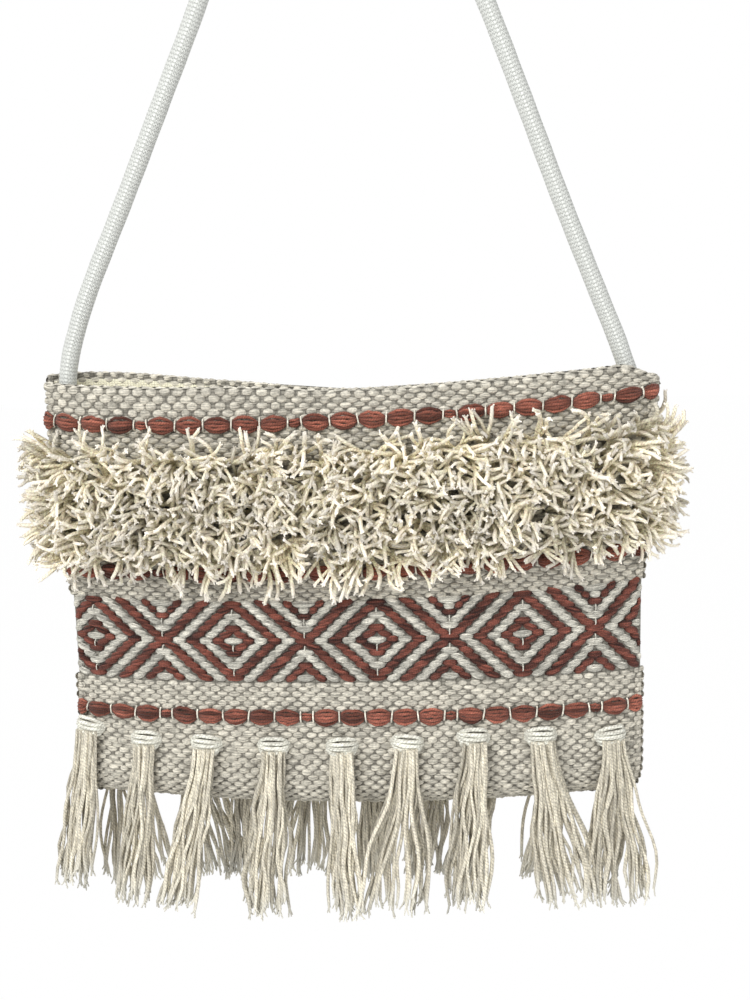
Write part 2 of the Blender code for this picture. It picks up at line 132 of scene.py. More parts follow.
ROPE_ROUTE = [
    (-0.1385, -0.304), (-0.1383, -0.292), (-0.1365, -0.280), (-0.1328, -0.267), (-0.1240, -0.244),
    (-0.1030, -0.199), (-0.0830, -0.155), (-0.0637, -0.112), (-0.0440, -0.062), (-0.0244, -0.0123),
    (-0.0185, -0.0034), (-0.0100, 0.0022), (0.0, 0.0043), (0.0100, 0.0022), (0.0185, -0.0034),
    (0.0242, -0.0118), (0.0465, -0.064), (0.0685, -0.116), (0.0855, -0.160), (0.1020, -0.204),
    (0.1198, -0.249), (0.1287, -0.271), (0.1330, -0.283), (0.1367, -0.294), (0.1380, -0.304),
]
FRONT, BACK = -1, 1
SIDES = (("front", FRONT), ("back", BACK))

# The camera stands where the photograph was taken from.
CAMERA_AT = (0.0588, -0.7241, -0.1995)
CAMERA_YAW, CAMERA_PITCH, CAMERA_ROLL = -3.72, -11.79, -1.55
CAMERA_LENS = 54.0


def smooth(v):
    """0 below 0, 1 above 1, and an even curve between."""
    v = np.clip(v, 0, 1)
    return v * v * (3 - 2 * v)


def mix(a, b, share):
    return a + (b - a) * share


def rounding(v):
    """A quarter circle's rise from 0 at 0 to 1 at 1."""
    return np.sqrt(1 - (1 - np.clip(v, 0, 1)) ** 2)


def fullness(h):
    """Half the bag's depth at its middle, at a height above the fold."""
    waist = STRIPES[1][1]
    low = mix(BELLY_HALF_DEPTH, WAIST_HALF_DEPTH, smooth(h / waist))
    return mix(low, RIM_HALF_DEPTH, smooth((h - waist) / (BAG_HEIGHT - waist)))


def half_depth(h, inset=0.0):
    """The same half depth, rounded off at the fold."""
    return (fullness(h) - inset) * rounding((h - inset) / FOLD_ROUND)


def half_width(h, inset=0.0):
    """Half the bag's width at a height, with the base's corners rounded."""
    widening = smooth((h / BAG_HEIGHT - 0.45) / 0.45)
    cut = CORNER_CUT * (1 - rounding((h - inset) / CORNER_ROUND))
    return mix(BELLY_HALF_WIDTH, RIM_HALF_WIDTH, widening) - inset - cut


def powers(h):
    """How square the level section is, along the bag and across it."""
    share = smooth((h - BAG_HEIGHT + RIM_SQUARE_BAND + SQUARING_BAND) / SQUARING_BAND)
    wide = mix(LENS_WIDTH_POWER, RIM_WIDTH_POWER, share)
    return wide, mix(LENS_DEPTH_POWER, RIM_DEPTH_POWER, share)


def swell(u, centre, spread):
    return np.exp(-(((u - centre) / spread) ** 2))


def top_weight(h, band):
    """0 below the band under the rim, 1 at the rim."""
    return smooth((h - BAG_HEIGHT + band) / band)


def bulge(u, h):
    """How far the open mouth stands out on its left."""
    return GAPE_DEPTH * swell(u, GAPE_CENTRE, GAPE_SPREAD) * top_weight(h, GAPE_BAND) * (1 - u * u)


def sag_shift(u, h, side):
    """How far a place hangs below or above its woven height."""
    across = 1 - u * u
    shift = (RIM_LIFT * u - RIM_SAG * across) * smooth((h - SAG_START) / SAG_BAND)
    shift = shift - FOLD_SAG * across * (1 - smooth(h / FOLD_SAG_BAND))
    edge = LEFT_RIM_RISE * smooth((LEFT_RISE_START - u) / LEFT_RISE_SPAN)
    edge = edge - RIGHT_CORNER_DROP * smooth((u - CORNER_DROP_START) / CORNER_DROP_SPAN)
    shift = shift + edge * top_weight(h, EDGE_BAND)
    rise = BACK_RIM_RISE * swell(u, BACK_RISE_CENTRE, BACK_RISE_SPREAD) - BACK_RIM_DROP
    return shift + np.where(side == BACK, rise * top_weight(h, GAPE_BAND), 0.0)


def surface(u, h, side, inset=0.0):
    """Points of the cloth's face at a share of its half width and a height above the fold."""
    u, h = np.broadcast_arrays(np.asarray(u, float), np.asarray(h, float))
    n, m = powers(h)
    round_off = np.maximum(1 - np.minimum(np.abs(u), 1) ** n, 0) ** (1 / m)
    depth = half_depth(h, inset) * round_off
    depth = depth + bulge(u, h)
    z = h - BAG_HEIGHT - ROPE_RISE + sag_shift(u, h, side)
    return np.stack([u * half_width(h, inset), side * depth, z], -1)


def unit(v):
    return v / np.maximum(np.linalg.norm(v, axis=-1, keepdims=True), 1e-12)


def on_cloth(u, h, side):
    """Points with the direction along the cloth, the one up it and the one out of it."""
    du, dh = 0.004, 0.002
    along = unit(surface(np.minimum(u + du, 0.996), h, side) - surface(np.maximum(u - du, -0.996), h, side))
    up = surface(u, h + dh, side) - surface(u, h - dh, side)
    out = unit(np.cross(along, up)) * -side
    return surface(u, h, side), along, unit(np.cross(out, along)) * -side, out


def skin(u, h, side, lift):
    """Points that stand a little way off the cloth."""
    at, _, _, out = on_cloth(u, h, side)
    return at + out * np.asarray(lift)[..., None]


# Nodes and materials


def node(tree, kind, inputs=(), **settings):
    """A new node with its settings made, and its inputs linked or given a value."""
    made = tree.nodes.new(kind)
    for name, value in settings.items():
        setattr(made, name, value)
    for name, value in dict(inputs).items():
        if isinstance(value, bpy.types.NodeSocket):
            tree.links.new(value, made.inputs[name])
        else:
            made.inputs[name].default_value = value
    return made


def calc(tree, operation, a, b=0.0, c=0.0):
    return node(tree, "ShaderNodeMath", {0: a, 1: b, 2: c}, operation=operation).outputs[0]


def ramp(tree, value, low, high, start=0.0, stop=1.0):
    """Maps a value from low..high to start..stop."""
    limits = {"From Min": low, "From Max": high, "To Min": start, "To Max": stop}
    return node(tree, "ShaderNodeMapRange", {"Value": value, **limits}).outputs[0]


def mix_colour(tree, share, a, b, blend="MIX"):
    mixed = node(tree, "ShaderNodeMix", {0: share, 6: a, 7: b}, data_type="RGBA", blend_type=blend)
    return mixed.outputs[2]


def attribute(tree, name, output="Fac"):
    return node(tree, "ShaderNodeAttribute", attribute_name=name).outputs[output]


def parts_of(tree, vector):
    return node(tree, "ShaderNodeSeparateXYZ", {0: vector}).outputs


def noise(tree, at, scale, detail):
    return node(tree, "ShaderNodeTexNoise", {"Vector": at, "Scale": scale, "Detail": detail}).outputs[0]


def object_place(tree):
    return tree.nodes.new("ShaderNodeTexCoord").outputs["Object"]


def new_tree(kind, name, inputs, outputs):
    """A node group with named inputs and outputs."""
    tree = bpy.data.node_groups.new(name, kind)
    for label, socket, value in inputs:
        made = tree.interface.new_socket(label, in_out="INPUT", socket_type=socket)
        if value is not None:
            made.default_value = value
    for label, socket in outputs:
        tree.interface.new_socket(label, in_out="OUTPUT", socket_type=socket)
    return tree, tree.nodes.new("NodeGroupInput").outputs, tree.nodes.new("NodeGroupOutput").inputs


HEIGHT_AND_SHADE = (("Height", "NodeSocketFloat"), ("Shade", "NodeSocketFloat"))


def fibre_group():
    """Fine fibres that run one way, with a little fuzz across them."""
    inputs = (("Stretch", "NodeSocketVector", (260.0, 260.0, 2600.0)), ("Fuzz", "NodeSocketFloat", 900.0))
    tree, given, result = new_tree("ShaderNodeTree", "Fibre streaks", inputs, HEIGHT_AND_SHADE)
    place = object_place(tree)
    stretched = node(tree, "ShaderNodeVectorMath", {0: place, 1: given["Stretch"]}, operation="MULTIPLY")
    streak = noise(tree, stretched.outputs[0], 1.0, 3.0)
    fuzz = noise(tree, place, given["Fuzz"], 2.0)
    height = calc(tree, "MULTIPLY_ADD", fuzz, 0.35, streak)
    tree.links.new(height, result["Height"])
    tree.links.new(ramp(tree, height, 0.53, 0.82), result["Shade"])


def ply_group():
    """The slanted lines of two plies twisted together, from a tube's own ring and run attributes."""
    inputs = (("Pitch", "NodeSocketFloat", 0.003),)
    tree, given, result = new_tree("ShaderNodeTree", "Ply twist", inputs, HEIGHT_AND_SHADE)
    ring = parts_of(tree, attribute(tree, "ring", "Vector"))
    turn = calc(tree, "DIVIDE", attribute(tree, "run"), given["Pitch"])
    turn = calc(tree, "MULTIPLY", turn, 2 * math.pi)
    part = calc(tree, "MULTIPLY", calc(tree, "SINE", turn), ring[0])
    wave = calc(tree, "MULTIPLY_ADD", calc(tree, "COSINE", turn), ring[1], part)
    height = calc(tree, "SQRT", calc(tree, "ABSOLUTE", wave))
    tree.links.new(height, result["Height"])
    tree.links.new(ramp(tree, height, 0.1, 0.75), result["Shade"])


def shade_of(colour, factor):
    """A colour made darker or paler."""
    return (*(min(1.0, c * factor) for c in colour[:3]), 1.0)


def new_look(name, roughness, specular, sheen=0.0):
    """A material, its tree and its Principled shader's inputs."""
    look = bpy.data.materials.new(name)
    look.use_nodes = True
    shader = look.node_tree.nodes["Principled BSDF"].inputs
    shader["Roughness"].default_value = roughness
    shader["Specular IOR Level"].default_value = specular
    shader["Sheen Weight"].default_value = sheen
    return look, look.node_tree, shader


def surface_of(tree, shader, colour, height, strength, distance):
    """Gives a shader its colour and a bump from a height."""
    tree.links.new(colour, shader["Base Color"])
    bump = node(tree, "ShaderNodeBump", {"Height": height, "Strength": strength, "Distance": distance})
    tree.links.new(bump.outputs[0], shader["Normal"])


def group_of(tree, name, **inputs):
    return node(tree, "ShaderNodeGroup", inputs, node_tree=bpy.data.node_groups[name]).outputs


def tinted(tree, colour, darkest, palest):
    """A colour made darker or paler by the tint that each strand or float carries: its own tone, and in
    places painted shade and painted light as well.
    """
    level = ramp(tree, attribute(tree, "tint"), 0.0, 1.0, darkest, palest)
    grey = node(tree, "ShaderNodeCombineColor", {0: level, 1: level, 2: level}).outputs[0]
    return mix_colour(tree, 1.0, colour, grey, "MULTIPLY")


# How finely fibres streak a yarn in each direction: any yarn, one that lies across the bag, one that hangs
EVENLY = (600.0, 600.0, 600.0)
ACROSS = (260.0, 260.0, 1900.0)
DOWN = (1900.0, 1900.0, 200.0)


def yarn_material(name, colour, tip=None, pitch=0.003, ply=0.35, bump=0.5, patch=0.16, stretch=EVENLY):
    """Cotton or wool yarn: twisted plies with painted shade in the grooves between them, fine fibres, a tint
    for each strand and paler cut ends.
    """
    look, tree, shader = new_look(name, 0.92, 0.25, 0.15)
    fibres = group_of(tree, "Fibre streaks", Stretch=stretch)
    plies = group_of(tree, "Ply twist", Pitch=pitch)
    base = mix_colour(tree, fibres["Shade"], shade_of(colour, 0.66), shade_of(colour, 1.30))
    lined = calc(tree, "MULTIPLY_ADD", plies["Shade"], ply, 1 - ply)
    # Painted shade: the grooves between the plies are darkened towards a third of the yarn's colour.
    ply_shaded = mix_colour(tree, lined, shade_of(colour, 0.341), base)
    if tip is not None:
        ply_shaded = mix_colour(tree, attribute(tree, "end"), ply_shaded, tip)
    height = calc(tree, "MULTIPLY_ADD", plies["Height"], 1.2, fibres["Height"])
    surface_of(tree, shader, tinted(tree, ply_shaded, 1 - patch * 1.6, 1 + patch), height, bump, 0.0003)
    return look


def float_material(name, colour):
    """Weft floats of unspun cotton: fibres along the cloth, and painted shade that darkens them where they
    dive, leaving the crown its full colour.
    """
    look, tree, shader = new_look(name, 0.93, 0.2, 0.12)
    fibres = group_of(tree, "Fibre streaks", Stretch=(170.0, 170.0, 1500.0))
    crown = parts_of(tree, attribute(tree, "cell", "Vector"))[2]
    base = mix_colour(tree, fibres["Shade"], shade_of(colour, 0.60), shade_of(colour, 1.42))
    # Painted shade: low on each float, by the cell's height, the colour darkens towards 0.42 of the cloth's.
    dive_shaded = mix_colour(tree, ramp(tree, crown, 0.0, 0.55), shade_of(colour, 0.42), base)
    surface_of(tree, shader, tinted(tree, dive_shaded, 0.835, 1.11), fibres["Height"], 1.0, 0.0008)
    return look


def plain_weave_material(name, colour, low, cell=0.0024):
    """A plain weave: small overs and unders in a brick layout, from Object coordinates, with painted shade in
    the unders.
    """
    look, tree, shader = new_look(name, 0.95, 0.2)
    place = object_place(tree)
    at = parts_of(tree, place)
    bend = noise(tree, place, 60.0, 1.0)
    sway = calc(tree, "MULTIPLY", calc(tree, "SUBTRACT", bend, 0.5), 1.2)
    across = calc(tree, "MULTIPLY_ADD", at[0], math.pi / cell, sway)
    upward = calc(tree, "MULTIPLY_ADD", at[2], math.pi / cell * 1.25, sway)
    wave = calc(tree, "MULTIPLY", calc(tree, "SINE", across), calc(tree, "SINE", upward))
    crown = calc(tree, "SQRT", calc(tree, "ABSOLUTE", wave))
    fibres = group_of(tree, "Fibre streaks", Stretch=(300.0, 300.0, 2600.0))
    shade = calc(tree, "MULTIPLY_ADD", fibres["Shade"], 0.25, crown)
    # Painted shade: the unders, low in the weave, are darkened towards the low share of the colour.
    woven = mix_colour(tree, shade, shade_of(colour, low), shade_of(colour, 1.05))
    surface_of(tree, shader, woven, shade, 0.7, 0.0008)
    return look


def rope_material(name, colour):
    """Fine rib knit round a cord: rows of small V stitches with painted shade in their grooves, from the
    tube's own run and turn attributes.
    """
    look, tree, shader = new_look(name, 0.85, 0.3, 0.2)
    column = calc(tree, "MULTIPLY", attribute(tree, "turn"), float(ROPE_COLUMNS))
    inside = calc(tree, "ABSOLUTE", calc(tree, "SUBTRACT", calc(tree, "FRACT", column), 0.5))
    stitches = calc(tree, "DIVIDE", attribute(tree, "run"), ROPE_STITCH)
    slant = calc(tree, "MULTIPLY_ADD", inside, 1.1, stitches)
    ridge = calc(tree, "ABSOLUTE", calc(tree, "SINE", calc(tree, "MULTIPLY", slant, math.pi)))
    groove = calc(tree, "SINE", calc(tree, "MULTIPLY", inside, 2 * math.pi))
    height = calc(tree, "MULTIPLY", calc(tree, "SQRT", ridge), calc(tree, "POWER", groove, 0.35))
    # Painted shade: the grooves between the stitches are darkened towards 0.46 of the rope's colour.
    knitted = mix_colour(tree, height, shade_of(colour, 0.46), shade_of(colour, 1.10))
    surface_of(tree, shader, knitted, height, 0.6, 0.0006)
    return look


# Geometry Nodes trees

GEOMETRY_IN = ("Geometry", "NodeSocketGeometry", None)
GEOMETRY_OUT = (("Geometry", "NodeSocketGeometry"),)


def named_value(tree, name, kind="FLOAT"):
    return node(tree, "GeometryNodeInputNamedAttribute", {"Name": name}, data_type=kind).outputs["Attribute"]


def stored(tree, geometry, name, kind, value):
    """Geometry with a point attribute stored on it."""
    inputs = {"Geometry": geometry, "Name": name, "Value": value}
    return node(tree, "GeometryNodeStoreNamedAttribute", inputs, data_type=kind, domain="POINT").outputs[0]


def give_out(tree, result, geometry, material):
    """Realizes the instances, sets the material and ends the tree."""
    real = node(tree, "GeometryNodeRealizeInstances", {"Geometry": geometry}).outputs[0]
    dressed = node(tree, "GeometryNodeSetMaterial", {"Geometry": real, "Material": material})
    tree.links.new(dressed.outputs[0], result[0])


def yarn_tree():
    """Turns chains of edges into yarns as thick as their own points say."""
    inputs = (
        GEOMETRY_IN,
        ("Sides", "NodeSocketInt", 4),
        ("Thickness", "NodeSocketFloat", 1.0),
        ("Yarn", "NodeSocketMaterial", None),
    )
    tree, given, result = new_tree("GeometryNodeTree", "Yarns along paths", inputs, GEOMETRY_OUT)
    tree.is_modifier = True
    curves = node(tree, "GeometryNodeMeshToCurve", {"Mesh": given["Geometry"]}).outputs[0]
    length = tree.nodes.new("GeometryNodeSplineParameter").outputs["Length"]
    curves = stored(tree, curves, "run", "FLOAT", length)
    ring = node(tree, "GeometryNodeCurvePrimitiveCircle", {"Resolution": given["Sides"], "Radius": 1.0})
    at = tree.nodes.new("GeometryNodeInputPosition").outputs[0]
    ring = stored(tree, ring.outputs[0], "ring", "FLOAT_VECTOR", at)
    thick = calc(tree, "MULTIPLY", named_value(tree, "thick"), given["Thickness"])
    inputs = {"Curve": curves, "Profile Curve": ring, "Scale": thick, "Fill Caps": True}
    tubes = node(tree, "GeometryNodeCurveToMesh", inputs).outputs[0]
    soft = node(tree, "GeometryNodeSetShadeSmooth", {"Geometry": tubes}).outputs[0]
    give_out(tree, result, soft, given["Yarn"])


def float_tree():
    """Sets one woven float on every point, turned and sized as the point says."""
    inputs = (GEOMETRY_IN, ("Float", "NodeSocketObject", None), ("Weft", "NodeSocketMaterial", None))
    tree, given, result = new_tree("GeometryNodeTree", "Floats on cloth", inputs, GEOMETRY_OUT)
    tree.is_modifier = True
    shape = node(tree, "GeometryNodeObjectInfo", {"Object": given["Float"]}).outputs["Geometry"]
    turn = node(tree, "FunctionNodeEulerToRotation", {"Euler": named_value(tree, "turn", "FLOAT_VECTOR")})
    inputs = {
        "Points": given["Geometry"],
        "Instance": shape,
        "Rotation": turn.outputs[0],
        "Scale": named_value(tree, "size", "FLOAT_VECTOR"),
    }
    placed = node(tree, "GeometryNodeInstanceOnPoints", inputs).outputs[0]
    give_out(tree, result, placed, given["Weft"])


def plain_mesh(name, source, tree_name, values):
    """Runs a tree on a mesh and gives the result as a plain object of its own."""
    holder = bpy.data.objects.new(name + "_points", source)
    bpy.context.scene.collection.objects.link(holder)
    modifier = holder.modifiers.new("make", "NODES")
    tree = bpy.data.node_groups[tree_name]
    modifier.node_group = tree
    for item in tree.interface.items_tree:
        if item.item_type == "SOCKET" and item.in_out == "INPUT" and item.name in values:
            modifier[item.identifier] = values[item.name]
    graph = bpy.context.evaluated_depsgraph_get()
    mesh = bpy.data.meshes.new_from_object(holder.evaluated_get(graph), depsgraph=graph)
    mesh.name = name
    bpy.data.objects.remove(holder, do_unlink=True)
    bpy.data.meshes.remove(source)
    made = bpy.data.objects.new(name, mesh)
    bpy.context.scene.collection.objects.link(made)
    if not mesh.polygons:
        raise RuntimeError(f"{name} came out empty")
    return made


def store(mesh, name, kind, values):
    """Puts a value for each point on a mesh."""
    layer = mesh.attributes.new(name, kind, "POINT")
    flat = np.ascontiguousarray(values, np.float32).ravel()
    layer.data.foreach_set("vector" if kind == "FLOAT_VECTOR" else "value", flat)


def yarns(name, paths, look, sides=4):
    """One object of yarns. Each path is (points, thickness, tint, end share), by point or one for all."""
    points, edges, thick, tint, end = [], [], [], [], []
    start = 0
    for path in paths:
        at = np.asarray(path[0])
        count = len(at)
        points.append(at)
        edges.append(np.stack([np.arange(count - 1), np.arange(1, count)], 1) + start)
        thick.append(np.broadcast_to(path[1], count))
        tint.append(np.broadcast_to(path[2], count))
        end.append(np.broadcast_to(path[3], count))
        start += count
    mesh = bpy.data.meshes.new(name + "_paths")
    mesh.from_pydata(np.concatenate(points).tolist(), np.concatenate(edges).tolist(), [])
    store(mesh, "thick", "FLOAT", np.concatenate(thick))
    store(mesh, "tint", "FLOAT", np.concatenate(tint))
    store(mesh, "end", "FLOAT", np.concatenate(end))
    return plain_mesh(name, mesh, "Yarns along paths", {"Sides": sides, "Yarn": look})


def floats(name, at, along, out, size, tint, shape, look):
    """One object of woven floats set on points of the cloth."""
    x = unit(along - out * (along * out).sum(-1, keepdims=True))
    y = np.cross(out, x)
    pitch = -np.arcsin(np.clip(x[:, 2], -1, 1))
    turn = np.stack([np.arctan2(y[:, 2], out[:, 2]), pitch, np.arctan2(x[:, 1], x[:, 0])], -1)
    mesh = bpy.data.meshes.new(name + "_points")
    mesh.from_pydata(at.tolist(), [], [])
    store(mesh, "turn", "FLOAT_VECTOR", turn)
    store(mesh, "size", "FLOAT_VECTOR", size)
    store(mesh, "tint", "FLOAT", tint)
    return plain_mesh(name, mesh, "Floats on cloth", {"Float": shape, "Weft": look})


def float_shape():
    """A plump half lozenge of yarn with tucked ends, one unit half length, half height and stand."""
    angles = np.radians([0, 42, 90, 138, 180])
    points, cells, faces = [(-1.0, 0.0, -0.62)], [(-1.0, 0.0, 0.0)], []
    for x in (-0.62, 0.0, 0.62):
        girth = (1 - abs(x) ** 2.1) ** 0.62
        lift = 1.0 - 0.55 * abs(x) ** 2
        for a in angles:
            points.append((x, girth * math.cos(a), lift * girth * math.sin(a) - 0.25 - 0.35 * abs(x) ** 3))
            cells.append((x, math.cos(a), girth * math.sin(a)))
    points.append((1.0, 0.0, -0.62))
    cells.append((1.0, 0.0, 0.0))
    wide, last = len(angles), len(points) - 1
    for j in range(wide - 1):
        faces.append((0, 1 + j, 2 + j))
        for i in (0, wide):
            faces.append((1 + i + j, 1 + i + wide + j, 2 + i + wide + j, 2 + i + j))
        faces.append((last, last - wide + j + 1, last - wide + j))
    made = mesh_object("float_shape", points, faces)
    # The cell's last value, the height on the float, is where the weft material paints shade low on each
    # float.
    store(made.data, "cell", "FLOAT_VECTOR", cells)
    return made


def dress(made, slot, *nodes):
    """Says what a piece rides on and which nodes it stands for; what it is made of, the slot, is not used."""
    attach(made, "root")
    if nodes:
        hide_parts(*nodes)
    return made


def mesh_object(name, points, faces, look=None):
    """A smooth object of its own from points and faces."""
    mesh = bpy.data.meshes.new(name)
    mesh.from_pydata([tuple(p) for p in points], [], faces)
    mesh.polygons.foreach_set("use_smooth", [True] * len(mesh.polygons))
    if look is not None:
        mesh.materials.append(look)
    made = bpy.data.objects.new(name, mesh)
    bpy.context.scene.collection.objects.link(made)
    return made


def level_ring(h, inset, count=96):
    """A closed level section of the bag, inset from the cloth's outer face."""
    n, m = powers(h)
    angle = 2 * np.pi * np.arange(count) / count
    c, s = np.cos(angle), np.sin(angle)
    u = np.sign(c) * np.abs(c) ** (2 / n)
    side = np.where(s > 1e-9, BACK, FRONT)
    depth = half_depth(h, inset) * np.abs(s) ** (2 / m)
    depth = depth + bulge(u, h) * (np.abs(s) > 1e-9)
    z = h - BAG_HEIGHT - ROPE_RISE + np.where(
        np.abs(s) < 1e-9, (sag_shift(u, h, FRONT) + sag_shift(u, h, BACK)) / 2, sag_shift(u, h, side)
    )
    return np.stack([u * half_width(h, inset), side * depth, z], -1)


def bands(rings, count):
    """The faces between closed rings of points."""
    faces = []
    for i in range(rings - 1):
        for j in range(count):
            k = (j + 1) % count
            faces.append((i * count + j, i * count + k, (i + 1) * count + k, (i + 1) * count + j))
    return faces


def pouch(name, outer, inner, rim, look):
    """An open pouch between two insets of the bag's form, with its rim rounded over."""
    rises = [outer + FOLD_ROUND * v for v in FOLD_SHARES] + list(np.linspace(0.026, rim - RIM_ROUND, 24))
    sinks = [inner + FOLD_ROUND * v for v in FOLD_SHARES] + list(np.linspace(0.028, rim - RIM_ROUND, 20))
    middle = (outer + inner) / 2
    rings = [level_ring(h, outer) for h in rises]
    rings.append(level_ring(rim, mix(outer, middle, 0.6)))
    rings.append(level_ring(rim, mix(inner, middle, 0.6)))
    rings += [level_ring(h, inner) for h in reversed(sinks)]
    made = mesh_object(name, np.concatenate(rings), bands(len(rings), len(rings[0])), look)
    tidy_normals(made)
    return made


def tidy_normals(made):
    """Joins doubled points and turns every face outwards."""
    bm = bmesh.new()
    bm.from_mesh(made.data)
    bmesh.ops.remove_doubles(bm, verts=bm.verts, dist=1e-6)
    bmesh.ops.dissolve_degenerate(bm, dist=1e-7, edges=bm.edges)
    bmesh.ops.recalc_face_normals(bm, faces=bm.faces)
    if bm.calc_volume(signed=True) < 0:
        bmesh.ops.reverse_faces(bm, faces=bm.faces)
    bm.to_mesh(made.data)
    bm.free()
    made.data.polygons.foreach_set("use_smooth", [True] * len(made.data.polygons))


def stripe_edges():
    """Bead edges along the cloth, from the left seam to the right one."""
    long_bead = (REPEAT - SHORT_BEAD) / LONG_BEADS
    edges = []
    start = SHORT_BEAD_AT - SHORT_BEAD / 2 - REPEAT
    while start < CLOTH_HALF:
        edges += [start, start + SHORT_BEAD]
        edges += [start + SHORT_BEAD + long_bead * i for i in range(1, LONG_BEADS)]
        start += REPEAT
    inside = [e for e in edges if abs(e) < CLOTH_HALF - SEAM_MARGIN]
    return [-CLOTH_HALF, *inside, CLOTH_HALF]


def along_share(s):
    """A place along the cloth as a share of the bag's half width, kept just inside the side folds."""
    return np.clip(np.asarray(s) / CLOTH_HALF, -SEAM_SHARE, SEAM_SHARE)


# Making the pieces

# Each lamp's name, place, size and share of the window's power
LAMPS = (
    ("window", (-0.9, -1.5, 0.9), 1.3, 1.0),
    ("fill", (1.6, -1.2, 0.1), 1.4, 0.28),
    ("behind", (0.2, 1.5, 0.8), 1.2, 0.55),
)
LAMPS_AIM = (0, 0, -0.36)
FLOOR_REACH, FLOOR_LEVEL = 6.0, -1.15
FLOOR_WHITENESS = 0.992
WHITE = (1, 1, 1, 1)


def make_camera(scene):
    """A camera at the place and angle of the photograph's."""
    camera = bpy.data.objects.new("camera", bpy.data.cameras.new("camera"))
    scene.collection.objects.link(camera)
    camera.data.lens = CAMERA_LENS
    camera.data.sensor_width = 36.0
    camera.data.clip_start, camera.data.clip_end = 0.01, 30.0
    yaw, pitch, roll = (math.radians(v) for v in (CAMERA_YAW, CAMERA_PITCH, CAMERA_ROLL))
    ahead = Vector((math.sin(yaw) * math.cos(pitch), math.cos(yaw) * math.cos(pitch), math.sin(pitch)))
    flat_right = Vector((math.cos(yaw), -math.sin(yaw), 0))
    flat_up = flat_right.cross(ahead)
    right = flat_right * math.cos(roll) + flat_up * math.sin(roll)
    up = flat_up * math.cos(roll) - flat_right * math.sin(roll)
    turned = Matrix((right, up, -ahead)).transposed().to_4x4()
    camera.matrix_world = Matrix.Translation(CAMERA_AT) @ turned
    scene.camera = camera


def make_daylight(scene, strength):
    """Even light from all round, which the camera itself sees as white."""
    scene.world = bpy.data.worlds.new("soft daylight")
    scene.world.use_nodes = True
    tree = scene.world.node_tree
    sky = tree.nodes["Background"]
    sky.inputs["Color"].default_value = WHITE
    sky.inputs["Strength"].default_value = strength
    seen = node(tree, "ShaderNodeBackground", {"Color": WHITE})
    rays = tree.nodes.new("ShaderNodeLightPath").outputs
    share = calc(tree, "MAXIMUM", rays["Is Camera Ray"], rays["Is Transmission Ray"])
    joined = node(tree, "ShaderNodeMixShader", {0: share, 1: sky.outputs[0], 2: seen.outputs[0]})
    tree.links.new(joined.outputs[0], tree.nodes["World Output"].inputs["Surface"])


def make_floor():
    """A plain pale floor that takes a soft shadow."""
    look, tree, shader = new_look("pale floor", 0.9, 0.5)
    shader["Base Color"].default_value = (0.88, 0.88, 0.87, 1)
    plain = tree.nodes["Principled BSDF"].outputs[0]
    glow = node(tree, "ShaderNodeEmission", {"Color": WHITE, "Strength": 1.0}).outputs[0]
    rays = tree.nodes.new("ShaderNodeLightPath").outputs
    share = calc(tree, "MULTIPLY", rays["Is Camera Ray"], FLOOR_WHITENESS)
    joined = node(tree, "ShaderNodeMixShader", {0: share, 1: plain, 2: glow})
    tree.links.new(joined.outputs[0], tree.nodes["Material Output"].inputs["Surface"])
    signs = ((-1, -1), (1, -1), (1, 1), (-1, 1))
    corners = [(x * FLOOR_REACH, y * FLOOR_REACH, FLOOR_LEVEL) for x, y in signs]
    mesh_object("floor", corners, [(0, 1, 2, 3)], look)


def make_stage(settings):
    """The camera, the daylight, the floor and three soft lamps."""
    scene = bpy.context.scene
    scene.view_settings.view_transform = "Standard"
    make_camera(scene)
    make_daylight(scene, settings.daylight)
    make_floor()
    for name, place, size, share in LAMPS:
        lamp = bpy.data.lights.new(name, "AREA")
        lamp.energy = settings.window_light * share
        lamp.size = size
        lamp_object = bpy.data.objects.new(name, lamp)
        lamp_object.location = place
        lamp_object.rotation_euler = (Vector(LAMPS_AIM) - Vector(place)).to_track_quat("-Z", "Y").to_euler()
        scene.collection.objects.link(lamp_object)


def travelled(points):
    """How far along a chain each of its points lies."""
    return np.concatenate([[0], np.cumsum(np.linalg.norm(np.diff(points, axis=0), axis=1))])


def even_points(points, count):
    """Points evenly spaced along a smooth curve through the given ones, and its length."""
    points = np.asarray(points, float)
    fine = []
    for i in range(len(points) - 1):
        before, after = points[max(i - 1, 0)], points[min(i + 2, len(points) - 1)]
        a, b = points[i], points[i + 1]
        for t in np.arange(12) / 12:
            bend = (2 * before - 5 * a + 4 * b - after) * t * t
            fine.append(0.5 * (2 * a + (b - before) * t + bend + (3 * a - before - 3 * b + after) * t**3))
    fine.append(points[-1])
    fine = np.array(fine)
    run = travelled(fine)
    want = np.linspace(0, run[-1], count)
    return np.stack([np.interp(want, run, fine[:, k]) for k in range(3)], -1), run[-1]


